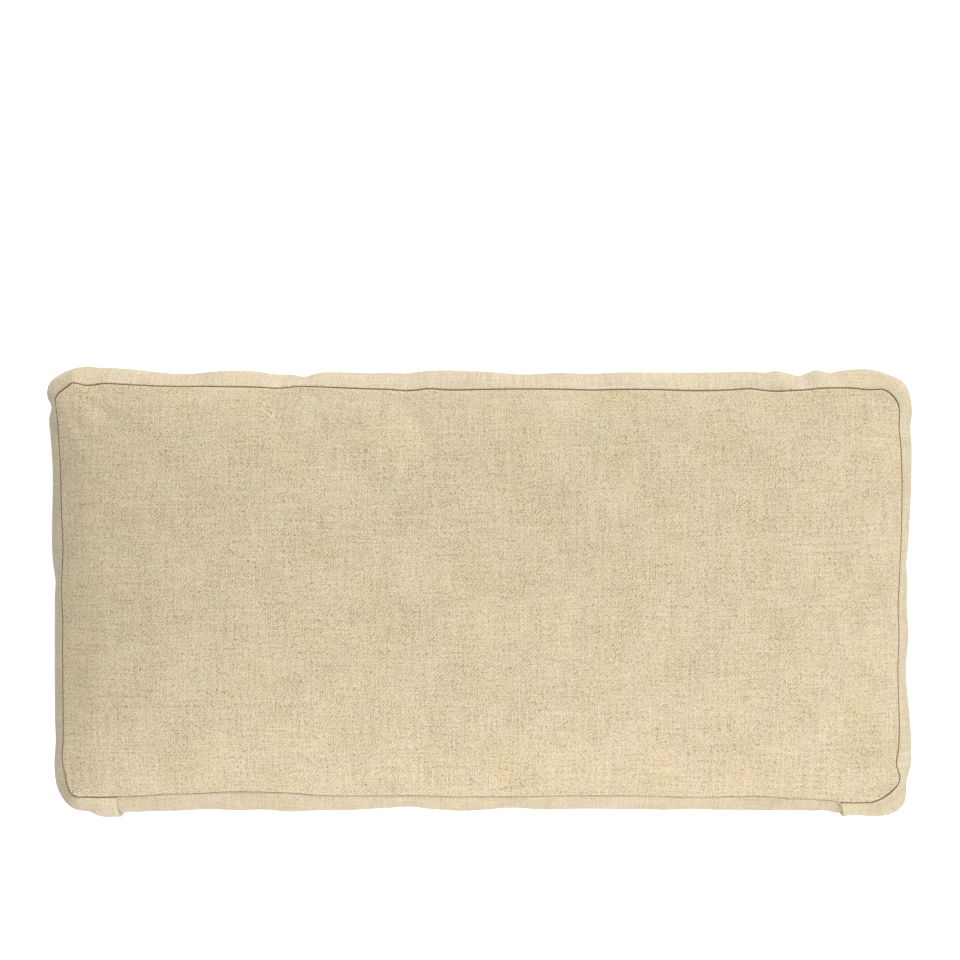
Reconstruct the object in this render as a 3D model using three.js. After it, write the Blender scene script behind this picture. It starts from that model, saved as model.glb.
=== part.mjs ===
import * as THREE from 'three';
import { mergeVertices } from 'three/addons/utils/BufferGeometryUtils.js';

// A boxed rectangular throw pillow that lies on its back, in millimetres with +Z up.
// +X runs along its length, and +Y from its base side to its head side.
// The filled cushion carries the front and back panels as its crowned faces. Two strips of cloth
// close its sides: the boxing on three of them, and the base strip between two joint seams.

// The front and back panels, from seam to seam
const PANEL_LENGTH = 608;
const PANEL_WIDTH = 300;

// Heights of the two seams over the surface that the pillow lies on
const BACK_SEAM = 26;
const FRONT_SEAM = 92;

// How far each face would stand out from its seam if nothing pressed on it, and its shape: the
// higher the flatness, the closer to the seam the face keeps its full height
const CROWN = 36;
const FLATNESS_ALONG = 4.5;
const FLATNESS_ACROSS = 2.8;
const FULLNESS = 0.64;

// The back eases into its flat resting patch over this height
const RESTING_EASE = 3;

// The cloth of the strips, and how far they stay from the panels and from each other
const CLOTH = 2.4;
const SEAM_GAP = 0.4;
const JOINT_GAP = 0.4;

const PANEL_COLOUR = 0xd8c7a6;
const STRIP_COLOUR = 0xe0d2b8;
const LINEN_ROUGHNESS = 0.95;

// The base strip reaches this far either side of the middle, and is set in from its neighbours
const JOINT_AT = 261.5;
const BASE_SET_IN = 3;

// The corners, counter-clockwise from above: which corner of the panel each is, how far the
// filling pulls it from the panel's own corner, its seam's radius and the swell outside the seam
const CORNERS = [
  { name: 'base left', at: [-1, -1], pulled: [1.3, -0.3], radius: 13, swell: 12.5 },
  { name: 'base right', at: [1, -1], pulled: [0.6, -4.6], radius: 20, swell: 14 },
  { name: 'head right', at: [1, 1], pulled: [1.3, -2.3], radius: 14.5, swell: 15 },
  { name: 'head left', at: [-1, 1], pulled: [-5.6, 2.1], radius: 13, swell: 12.5 },
];
const CORNER_REACH = 60;

// The side that starts at each corner: how far its seam is drawn in at its middle, and how far
// its strip swells past the seam
const SIDES = [
  { name: 'base', drawn: 3.2, swell: 17.5 },
  { name: 'right', drawn: 0.4, swell: 12 },
  { name: 'head', drawn: 3.2, swell: 13.6 },
  { name: 'left', drawn: 2.3, swell: 10.8 },
];

// Soft waves in the sides. "at" is the X or Y of a wave's middle, "seam" how far it moves the
// seam out, "strip" how much it adds to the swell, and it fades away at its reach.
const WAVES = [
  { side: 'base', at: -174, seam: -2.5, strip: 1.2, reach: 66 },
  { side: 'base', at: -58, seam: 0.6, strip: -1.8, reach: 52 },
  { side: 'base', at: 22, seam: 0.7, strip: -1.4, reach: 44 },
  { side: 'base', at: 205, seam: -2.2, strip: 0.6, reach: 60 },
  { side: 'right', at: 82, seam: 1.3, strip: 0.4, reach: 60 },
  { side: 'right', at: -60, seam: -0.5, strip: -1.4, reach: 46 },
  { side: 'right', at: -110, seam: -0.6, strip: 2.0, reach: 44 },
  { side: 'head', at: -216, seam: -0.6, strip: -1.2, reach: 36 },
  { side: 'head', at: -130, seam: 0.4, strip: -2.2, reach: 44 },
  { side: 'head', at: -29, seam: -1.1, strip: 2.0, reach: 56 },
  { side: 'head', at: 32, seam: 0.3, strip: -0.9, reach: 40 },
  { side: 'head', at: 214, seam: -1.1, strip: 0.6, reach: 44 },
  { side: 'left', at: 60, seam: -1.6, strip: 1.6, reach: 66 },
  { side: 'left', at: -7, seam: 0.3, strip: -1.2, reach: 42 },
];
const FADE = 1.6;

// How many steps the cloth is divided into
const CORNER_STEPS = 2;
const END_STEPS = 2;
const LONG_STEPS = 34;
const SHORT_STEPS = 16;
const STRIP_STEPS = 6;

const { lerp } = THREE.MathUtils;

/** A smooth hump: 1 at its middle, faded away at its reach. */
function hump(distance, reach) {
  return Math.exp(-((FADE * distance / reach) ** 2));
}

/** Where a panel's corner would be if its seam weren't rounded. */
function cornerPoint({ at, pulled }) {
  return new THREE.Vector2(
    at[0] * PANEL_LENGTH / 2 + pulled[0],
    at[1] * PANEL_WIDTH / 2 + pulled[1],
  );
}

/** The corner a number of places further round than the first. */
function cornerAfter(index) {
  return CORNERS[(index + CORNERS.length) % CORNERS.length];
}

/** The direction of the side that starts at a corner. */
function sideDirection(index) {
  return cornerPoint(cornerAfter(index + 1)).sub(cornerPoint(cornerAfter(index))).normalize();
}

/**
 * The steps round half of a corner, from its middle to where the side runs straight: each one's
 * distance from the sharp corner, its distance inside the side, and how far the seam has turned.
 */
function cornerSteps(index) {
  const { radius } = cornerAfter(index);
  const whole = sideDirection(index - 1).angleTo(sideDirection(index)) / 2;
  return Array.from({ length: CORNER_STEPS + 1 }, (_, step) => {
    const turn = whole * (1 - step / CORNER_STEPS);
    const past = radius * (Math.tan(whole) - Math.sin(turn));
    return { past, turn, inward: radius * (1 - Math.cos(turn)) };
  });
}

/** The steps on the straight of a side between from and the last stop, without those two. */
function straightSteps(from, stops) {
  const steps = [];
  let here = from;
  for (const { to, count } of stops) {
    for (let step = 1; step <= count; step += 1) {
      steps.push({ along: lerp(here, to, step / count), turn: 0, inward: 0 });
    }
    here = to;
  }
  return steps.slice(0, -1);
}

/** What the waves of a side add to one of its measures at an X or Y. */
function wavesAt(side, key, place) {
  return WAVES.filter((wave) => wave.side === side.name)
    .reduce((sum, wave) => sum + wave[key] * hump(place - wave.at, wave.reach), 0);
}

/** The stations of one side, from the middle of one corner to the middle of the next. */
function stationsOf(index) {
  const side = SIDES[index];
  const startCorner = cornerAfter(index);
  const endCorner = cornerAfter(index + 1);
  const startPoint = cornerPoint(startCorner);
  const endPoint = cornerPoint(endCorner);
  const middle = startPoint.clone().lerp(endPoint, 0.5);
  const half = startPoint.distanceTo(endPoint) / 2;
  const direction = sideDirection(index);
  const out = new THREE.Vector2(direction.y, -direction.x);
  const isLong = half > PANEL_WIDTH;

  const start = cornerSteps(index)
    .map(({ past, turn, inward }) => ({ along: past - half, turn: -turn, inward }));
  const end = cornerSteps(index + 1).reverse()
    .map(({ past, turn, inward }) => ({ along: half - past, turn, inward }));
  const last = { to: end[0].along, count: isLong ? END_STEPS : SHORT_STEPS };
  const stops = isLong
    ? [{ to: -JOINT_AT, count: END_STEPS }, { to: JOINT_AT, count: LONG_STEPS }, last]
    : [last];
  const steps = [...start, ...straightSteps(start.at(-1).along, stops), ...end];
  const first = steps[0].along;
  const span = steps.at(-1).along - first;

  return steps.map(({ along, turn, inward }) => {
    const share = (along - first) / span;
    const point = middle.clone().addScaledVector(direction, along);
    const place = isLong ? point.x : point.y;
    const drawn = side.drawn * (1 - (2 * share - 1) ** 2);
    point.addScaledVector(out, wavesAt(side, 'seam', place) - drawn - inward);
    const facing = out.clone().rotateAround(new THREE.Vector2(), turn);
    const swell = side.swell + wavesAt(side, 'strip', place)
      + (startCorner.swell - side.swell) * hump(along - first, CORNER_REACH)
      + (endCorner.swell - side.swell) * hump(first + span - along, CORNER_REACH);
    const onBase = side.name === 'base' && Math.abs(along) <= JOINT_AT;
    return { x: point.x, y: point.y, facing, swell, onBase, share };
  });
}

const [baseSide, rightSide, headSide, leftSide] = SIDES.map((_, index) => stationsOf(index));
const headFromLeft = [...headSide].reverse();
const leftFromBase = [...leftSide].reverse();
const seam = [baseSide, rightSide, headSide, leftSide].flatMap((side) => side.slice(0, -1));
const ACROSS = baseSide.length - 1;
const UP = rightSide.length - 1;

/** The seam's station beside the vertex in column i and row j of a panel's edge. */
function seamStation(i, j) {
  let index = seam.length - j;
  if (j === 0) {
    index = i;
  } else if (i === ACROSS) {
    index = ACROSS + j;
  } else if (j === UP) {
    index = 2 * ACROSS + UP - i;
  }
  return seam[index % seam.length];
}

/** Column i and row j of a panel: its place, and how much of the crown's height it has. */
function panelPoint(i, j) {
  const u = (baseSide[i].share + 1 - headFromLeft[i].share) / 2;
  const v = (rightSide[j].share + 1 - leftFromBase[j].share) / 2;
  const between = (key) => {
    const up = lerp(baseSide[i][key], headFromLeft[i][key], v);
    const over = lerp(leftFromBase[j][key], rightSide[j][key], u);
    const low = lerp(baseSide[0][key], baseSide[ACROSS][key], u);
    const high = lerp(headFromLeft[0][key], headFromLeft[ACROSS][key], u);
    return up + over - lerp(low, high, v);
  };
  const falloff = (share, flatness) => Math.max(0, 1 - Math.abs(2 * share - 1) ** flatness);
  const rise = (falloff(u, FLATNESS_ALONG) * falloff(v, FLATNESS_ACROSS)) ** FULLNESS;
  return { x: between('x'), y: between('y'), rise };
}

/** Eases a height into the resting patch, which is exactly flat. */
function settled(height) {
  if (height >= RESTING_EASE) {
    return height;
  }
  return Math.max(0, height + RESTING_EASE) ** 2 / (4 * RESTING_EASE);
}

/**
 * A place on the swelling side. Its section is an arc from seam to seam: level is -1 at the back
 * seam and 1 at the front one, and depth is the distance inside the outer face.
 */
function sidePoint({ x, y, facing }, swell, level, depth) {
  const rise = (FRONT_SEAM - BACK_SEAM) / 2;
  const radius = (rise ** 2 + swell ** 2) / (2 * swell);
  const angle = level * Math.asin(rise / radius);
  const out = swell - radius + (radius - depth) * Math.cos(angle);
  const z = BACK_SEAM + rise + (radius - depth) * Math.sin(angle);
  return new THREE.Vector3(x + facing.x * out, y + facing.y * out, z);
}

/** A closed solid: a unit box in so many steps, each vertex moved to where place puts it. */
function shapedBox(across, up, deep, place) {
  const box = new THREE.BoxGeometry(1, 1, 1, across, up, deep);
  box.deleteAttribute('normal');
  box.deleteAttribute('uv');
  const solid = mergeVertices(box);
  const points = solid.getAttribute('position');
  for (let index = 0; index < points.count; index += 1) {
    const i = Math.round((points.getX(index) + 0.5) * across);
    const j = Math.round((points.getY(index) + 0.5) * up);
    const k = Math.round((points.getZ(index) + 0.5) * deep);
    points.setXYZ(index, ...place(i, j, k).toArray());
  }
  solid.computeVertexNormals();
  return solid;
}

/** The filled cushion, with a seat in its side for the strips. */
function cushionGeometry() {
  const deep = STRIP_STEPS + 2;
  return shapedBox(ACROSS, UP, deep, (i, j, k) => {
    if (k === 0 || k === deep) {
      const { x, y, rise } = panelPoint(i, j);
      const z = k === 0 ? settled(BACK_SEAM - CROWN * rise) : FRONT_SEAM + CROWN * rise;
      return new THREE.Vector3(x, y, z);
    }
    const station = seamStation(i, j);
    const swell = station.swell - (station.onBase ? BASE_SET_IN : 0);
    const level = lerp(-1, 1, (k - 1) / STRIP_STEPS);
    return sidePoint(station, swell, level, CLOTH + SEAM_GAP);
  });
}

/** A strip of cloth between the two seams, over count stations of the seam from first on. */
function stripGeometry(first, count, setIn) {
  return shapedBox(count, STRIP_STEPS, 1, (i, j, k) => {
    const station = seam[(first + i) % seam.length];
    const swell = station.swell - setIn;
    const edge = 1 - SEAM_GAP / ((FRONT_SEAM - BACK_SEAM) / 2);
    const level = lerp(-edge, edge, j / STRIP_STEPS);
    const point = sidePoint(station, swell, level, k === 0 ? CLOTH : 0);
    const along = new THREE.Vector3(-station.facing.y, station.facing.x, 0);
    const pull = (i === 0) - (i === count);
    return point.addScaledVector(along, pull * JOINT_GAP / 2);
  });
}

/** A named piece in linen. */
function linen(name, geometry, color) {
  const roughness = LINEN_ROUGHNESS;
  const material = new THREE.MeshStandardMaterial({ color, roughness, metalness: 0 });
  const mesh = new THREE.Mesh(geometry, material);
  mesh.name = name;
  return mesh;
}

// The base strip lies between the joint seams, and the boxing takes the rest of the way round
const baseFirst = CORNER_STEPS + END_STEPS;
const boxingFirst = baseFirst + LONG_STEPS;
const boxingCount = seam.length - LONG_STEPS;

const pillow = new THREE.Group();
pillow.add(linen('cushion', cushionGeometry(), PANEL_COLOUR));
pillow.add(linen('boxing_strip', stripGeometry(boxingFirst, boxingCount, 0), STRIP_COLOUR));
pillow.add(linen('base_strip', stripGeometry(baseFirst, LONG_STEPS, BASE_SET_IN), STRIP_COLOUR));

// The origin is under the middle of the whole pillow, on the surface that it lies on
const box = new THREE.Box3().setFromObject(pillow);
pillow.position.copy(box.getCenter(new THREE.Vector3())).negate().setZ(-box.min.z);

export default pillow;
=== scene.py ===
"""A boxed rectangular throw pillow in cream slubbed linen, lying on its back.

It is made of the pieces that are cut and sewn for it: a front panel, a back panel, a boxing strip
that runs up the left end, along the head side and down the right end, and a base strip between two
joint seams. One seam line is worked out first. A closed cover is sewn to it and filled by a cloth
simulation, and each piece is then laid on the filled cover, with its edges turned into the seams.

Blender works in metres, with +X along the pillow, +Y to its head side and +Z up.
"""

import logging
import math
from dataclasses import dataclass, field
from enum import Enum

import bpy
import numpy as np
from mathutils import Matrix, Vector

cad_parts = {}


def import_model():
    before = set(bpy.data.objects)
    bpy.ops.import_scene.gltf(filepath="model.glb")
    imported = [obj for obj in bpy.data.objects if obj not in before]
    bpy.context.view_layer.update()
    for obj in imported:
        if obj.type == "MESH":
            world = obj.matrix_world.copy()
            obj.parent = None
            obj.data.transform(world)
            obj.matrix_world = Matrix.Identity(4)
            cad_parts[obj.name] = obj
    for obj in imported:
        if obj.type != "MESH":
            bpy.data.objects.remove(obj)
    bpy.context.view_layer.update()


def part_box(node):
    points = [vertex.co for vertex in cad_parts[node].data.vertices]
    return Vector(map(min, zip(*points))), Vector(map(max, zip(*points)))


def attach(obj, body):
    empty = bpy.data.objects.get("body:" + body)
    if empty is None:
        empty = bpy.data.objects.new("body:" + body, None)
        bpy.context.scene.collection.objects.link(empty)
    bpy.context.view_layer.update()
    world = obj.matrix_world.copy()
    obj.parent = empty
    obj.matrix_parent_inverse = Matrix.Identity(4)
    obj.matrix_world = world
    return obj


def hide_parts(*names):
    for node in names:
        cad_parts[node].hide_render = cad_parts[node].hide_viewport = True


MM = 0.001
CLOTH_MAP = "cloth"
BAKE_MAP = "OFBake"
# The attribute that carries painted shade: at the seams and joint ends, over the base strip and
# beside some corners
PAINTED_SHADE = "painted shade"
BODY = "root"

log = logging.getLogger("pillow")


class Side(Enum):
    """The sides of the pillow, counter-clockwise from above, each from one corner to the next."""

    BASE = 0
    RIGHT = 1
    HEAD = 2
    LEFT = 3


class Face(Enum):
    """The pillow's two crowned faces, each with the direction in which it bulges."""

    FRONT = 1
    BACK = -1


def mix(low: np.ndarray, high: np.ndarray, share: np.ndarray | float) -> np.ndarray:
    """Returns what lies at a share of the way from low to high."""
    return low + (high - low) * share


def fading(share: np.ndarray) -> np.ndarray:
    """Returns what is left of a soft swell at shares of its reach: 1 at 0, and little at 1."""
    return np.exp(-((1.6 * share) ** 2))


def distance_from(at: tuple[float, float], points: np.ndarray) -> np.ndarray:
    """Returns how far points seen from above lie from a spot that is given in millimetres."""
    return np.linalg.norm(points - np.array(at) * MM, axis=-1)


@dataclass(frozen=True)
class Corner:
    """A corner of the panels: which one it is, how far the filling pulls it, and its round.

    Its flatness is 0 where the round is an arc, and 1 where it is a straight cut across.
    """

    at: tuple[int, int]
    pulled: tuple[float, float]
    radius: float
    swell: float
    flatness: float = 0.0

    def along(self, angle: np.ndarray | float, half: float) -> np.ndarray | float:
        """Returns how far past a side's straight part the round reaches after so much of its turn."""
        cut = angle / half * math.sin(2 * half) / 2
        return self.radius * mix(np.sin(angle), cut, self.flatness)

    def inward(self, angle: np.ndarray | float, half: float) -> np.ndarray | float:
        """Returns how far inside a side's line the round lies after so much of its turn."""
        cut = angle / half * (1 - math.cos(2 * half)) / 2
        return self.radius * mix(1 - np.cos(angle), cut, self.flatness)


@dataclass(frozen=True)
class SideShape:
    """How far a side's seam is drawn in at its middle, and how far its strip swells past it."""

    drawn: float
    swell: float


@dataclass(frozen=True)
class Wave:
    """A soft wave in a side: how far it moves the seam out and adds to the strip's swell.

    It lies at an X on the base and head sides, and at a Y on the other two.
    """

    side: Side
    at: float
    seam: float
    strip: float
    reach: float

    def strength(self, place: np.ndarray) -> np.ndarray:
        """Returns how strong the wave is at places along its side, from 0 to 1."""
        return fading((place - self.at) / self.reach)


# The corners, counter-clockwise from above. Each side runs from the corner of its own number.
CORNERS = (
    Corner((-1, -1), (1.3 * MM, -0.3 * MM), 13 * MM, 12.5 * MM),
    Corner((1, -1), (0.6 * MM, -4.6 * MM), 20 * MM, 14 * MM, flatness=0.5),
    Corner((1, 1), (1.3 * MM, -2.3 * MM), 14.5 * MM, 15 * MM),
    Corner((-1, 1), (-5.6 * MM, 2.1 * MM), 13 * MM, 12.5 * MM, flatness=0.8),
)

SIDES = {
    Side.BASE: SideShape(drawn=3.2 * MM, swell=17.7 * MM),
    Side.RIGHT: SideShape(drawn=0.4 * MM, swell=12.4 * MM),
    Side.HEAD: SideShape(drawn=3.2 * MM, swell=13.7 * MM),
    Side.LEFT: SideShape(drawn=2.3 * MM, swell=10.8 * MM),
}

WAVES = (
    Wave(Side.BASE, -174 * MM, -2.5 * MM, 1.2 * MM, 66 * MM),
    Wave(Side.BASE, -58 * MM, 0.6 * MM, -1.8 * MM, 52 * MM),
    Wave(Side.BASE, 22 * MM, 0.7 * MM, -1.4 * MM, 44 * MM),
    Wave(Side.BASE, 205 * MM, -2.2 * MM, 0.6 * MM, 60 * MM),
    Wave(Side.RIGHT, 82 * MM, 1.3 * MM, 0.4 * MM, 60 * MM),
    Wave(Side.RIGHT, -60 * MM, -0.5 * MM, -1.4 * MM, 46 * MM),
    Wave(Side.RIGHT, -110 * MM, -0.6 * MM, 2.0 * MM, 44 * MM),
    Wave(Side.HEAD, -216 * MM, -0.6 * MM, -1.2 * MM, 36 * MM),
    Wave(Side.HEAD, -130 * MM, 0.4 * MM, -2.2 * MM, 44 * MM),
    Wave(Side.HEAD, -29 * MM, -1.1 * MM, 2.0 * MM, 56 * MM),
    Wave(Side.HEAD, 32 * MM, 0.3 * MM, -0.9 * MM, 40 * MM),
    Wave(Side.HEAD, 214 * MM, -1.1 * MM, 0.6 * MM, 44 * MM),
    Wave(Side.LEFT, 60 * MM, -1.6 * MM, 1.6 * MM, 66 * MM),
    Wave(Side.LEFT, -7 * MM, 0.3 * MM, -1.2 * MM, 42 * MM),
)


@dataclass(frozen=True)
class Tug:
    """A spot where the seam is tugged out or in, and the strip beside it swells more or less.

    All of its sizes are in millimetres.
    """

    at: tuple[float, float]
    seam: float
    strip: float
    reach: float

    def strength(self, points: np.ndarray) -> np.ndarray:
        """Returns how strong the tug is at points seen from above, from 0 to 1."""
        return fading(distance_from(self.at, points) / (self.reach * MM))


TUGS = (
    # Along the head side, from the left
    Tug((-284, 151), -2.4, 2.4, 12),
    Tug((-238, 150), -1.2, -1.8, 46),
    Tug((-212, 150), 0.3, -1.2, 34),
    Tug((-180, 149), -0.9, -0.3, 60),
    Tug((-156, 149), 0.0, -0.8, 18),
    Tug((-146, 148), -1.3, -0.6, 18),
    Tug((-129, 148), 0.4, -4.0, 12),
    Tug((-79, 147), -0.7, -1.2, 40),
    Tug((-53, 147), -1.0, -0.6, 16),
    Tug((-35, 147), 1.0, -1.2, 14),
    Tug((34, 147), -0.1, -1.2, 30),
    Tug((82, 147), -0.5, -0.8, 24),
    Tug((160, 148), -1.1, 0.8, 40),
    Tug((197, 149), 1.0, -0.4, 16),
    Tug((218, 149), -0.8, 0.4, 24),
    Tug((220, 149), 0.0, 1.4, 9),
    Tug((237, 149), -0.3, -2.8, 12),
    Tug((250, 149), 0.2, 1.0, 11),
    Tug((259, 150), 0.3, -2.0, 12),
    Tug((285, 149), -1.6, 2.0, 15),
    Tug((296, 150), 0.0, -1.2, 9),
    # Down the right end
    Tug((305, 147), 0.0, 3.6, 9),
    Tug((301, 144), -2.1, -0.2, 14),
    Tug((306, 121), -0.9, -0.5, 14),
    Tug((306, 55), 1.2, -1.2, 80),
    Tug((306, 30), 0.4, -1.0, 40),
    Tug((306, 20), -0.3, -1.0, 16),
    Tug((306, -8), -0.6, -0.6, 24),
    Tug((306, -33), 0.5, 0.4, 22),
    Tug((306, -97), 1.1, -0.9, 40),
    Tug((305, -123), -1.8, 1.8, 12),
    Tug((305, -137), 2.4, -7.0, 12),
    # Along the base side, from the right
    Tug((300, -145), 0.4, 3.2, 12),
    Tug((294, -147), 0.8, 4.6, 24),
    Tug((285, -151), -0.6, -2.6, 12),
    Tug((270, -151), 0.6, -2.4, 22),
    Tug((264, -151), 0.3, 3.0, 10),
    Tug((240, -150), -0.3, -2.0, 40),
    Tug((226, -148), 0.8, -1.0, 16),
    Tug((184, -148), -0.2, -1.2, 60),
    Tug((158, -147), 0.0, -1.4, 26),
    Tug((118, -147), -1.0, -0.9, 50),
    Tug((75, -147), -0.5, -1.0, 40),
    Tug((25, -146), 0.0, -1.3, 24),
    Tug((-14, -146), 0.9, 0.0, 30),
    Tug((-52, -146), -0.3, -0.9, 18),
    Tug((-105, -146), 0.7, 0.1, 34),
    Tug((-140, -146), -0.4, 2.5, 26),
    Tug((-176, -146), -0.3, 2.0, 26),
    Tug((-228, -146), -0.8, 1.6, 26),
    Tug((-252, -147), 0.1, 1.6, 16),
    Tug((-263, -148), 0.1, 0.8, 9),
    Tug((-274, -148), 0.3, 4.4, 19),
    Tug((-281, -149), 0.0, 1.0, 8),
    Tug((-294, -147), 1.0, 1.0, 9),
    # Up the left end
    Tug((-299, -138), -2.7, 0.9, 16),
    Tug((-303, -119), 0.9, -1.4, 14),
    Tug((-303, -108), 0.0, -1.0, 18),
    Tug((-304, -19), -0.8, 0.9, 20),
    Tug((-303, 9), 0.0, -1.2, 14),
    Tug((-303, 32), -1.1, 1.6, 26),
    Tug((-305, 80), 0.0, -1.0, 34),
    Tug((-306, 115), -1.6, -0.8, 60),
    Tug((-306, 138), 0.3, -4.8, 11),
    Tug((-306, 146), 1.5, 2.0, 8),
    Tug((-301, 150), -0.4, 2.4, 14),
    Tug((-289, 152), 0.0, 1.2, 7),
    Tug((-295, 153), 0.2, -1.2, 9),
)

# How far the left and the right joint seam lean along the strips at mid-height
JOINT_BOWS = (-0.8 * MM, 6.0 * MM)


@dataclass(frozen=True)
class Ripple:
    """A soft ripple in the front panel: where it runs, its half width and how far it stands up.

    All of its sizes are in millimetres.
    """

    start: tuple[float, float]
    end: tuple[float, float]
    width: float
    height: float

    def rise(self, points: np.ndarray) -> np.ndarray:
        """Works out how much the ripple lifts the panel.

        Args:
            points: Points seen from above, in metres.

        Returns:
            The lift at each, in metres.
        """
        start, end = np.array(self.start) * MM, np.array(self.end) * MM
        half = (end - start) / 2
        along = unit(half)
        offset = points - (start + end) / 2
        run = offset @ along / np.linalg.norm(half)
        side = offset @ np.array([-along[1], along[0]]) / (self.width * MM)
        return self.height * MM * np.exp(-(run**4) - side**2)


RIPPLES = (
    Ripple((-156, 152), (-137, 108), 6.0, -1.4),
    Ripple((-64, 153), (-31, 101), 6.0, -1.9),
    Ripple((166, 151), (178, 122), 6.0, -1.2),
    Ripple((-280, 76), (-272, 0), 9.0, 0.5),
    Ripple((-272, -24), (-279, -110), 9.0, 0.6),
)


@dataclass(frozen=True)
class PaintedCornerShade:
    """A patch of painted shade on a strip beside a corner: where it is, how dark it is, and its
    reach.

    Its place and its reach are in millimetres.
    """

    at: tuple[float, float]
    depth: float
    reach: float

    def shade(self, points: np.ndarray) -> np.ndarray:
        """Returns how much of its painted shade falls on points seen from above."""
        distance = distance_from(self.at, points) / (self.reach * MM)
        return self.depth * np.exp(-(distance**2))


# Patches of painted shade on the strips beside the corners, standing in for the shade of the cloth's
# folds there; they move no cloth
PAINTED_CORNER_SHADES = (
    PaintedCornerShade((-303, -153), 0.34, 11),
    PaintedCornerShade((-284, -158), 0.08, 16),
    PaintedCornerShade((302, 152), 0.26, 12),
    PaintedCornerShade((304, -153), 0.14, 12),
    PaintedCornerShade((284, -158), 0.1, 18),
)


def unit(vectors: np.ndarray) -> np.ndarray:
    """Returns the vectors of an array, each made one metre long."""
    return vectors / np.maximum(np.linalg.norm(vectors, axis=-1, keepdims=True), 1e-12)


def turned(vectors: np.ndarray, angle: np.ndarray) -> np.ndarray:
    """Turns flat vectors counter-clockwise.

    Args:
        vectors: The vectors.
        angle: An angle for each.

    Returns:
        The turned vectors.
    """
    cos, sin = np.cos(angle), np.sin(angle)
    x, y = vectors[..., 0], vectors[..., 1]
    return np.stack([x * cos - y * sin, x * sin + y * cos], axis=-1)


def read_between(values: np.ndarray, at: np.ndarray, closed: bool = False) -> np.ndarray:
    """Reads an array between its rows, on a smooth curve through them.

    Args:
        values: An array whose rows are evenly spaced readings.
        at: Where to read, counted in rows, with fractions.
        closed: Whether the last row is followed by the first.

    Returns:
        One reading for each place.
    """
    count = len(values)
    first = np.floor(at).astype(int)
    if not closed:
        first = np.clip(first, 0, count - 2)
    part = (at - first).reshape(-1, *[1] * (values.ndim - 1))

    def row(step: int) -> np.ndarray:
        """Returns the rows that lie so many steps after the first ones."""
        place = first + step
        return values[place % count if closed else np.clip(place, 0, count - 1)]

    before, start, end, after = row(-1), row(0), row(1), row(2)
    bend = 2 * before - 5 * start + 4 * end - after + part * (3 * (start - end) + after - before)
    return start + 0.5 * part * (end - before + part * bend)


@dataclass(frozen=True)
class Stations:
    """Places along the seam, seen from above."""

    point: np.ndarray
    out: np.ndarray
    swell: np.ndarray
    share: np.ndarray
    on_base: np.ndarray


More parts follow.
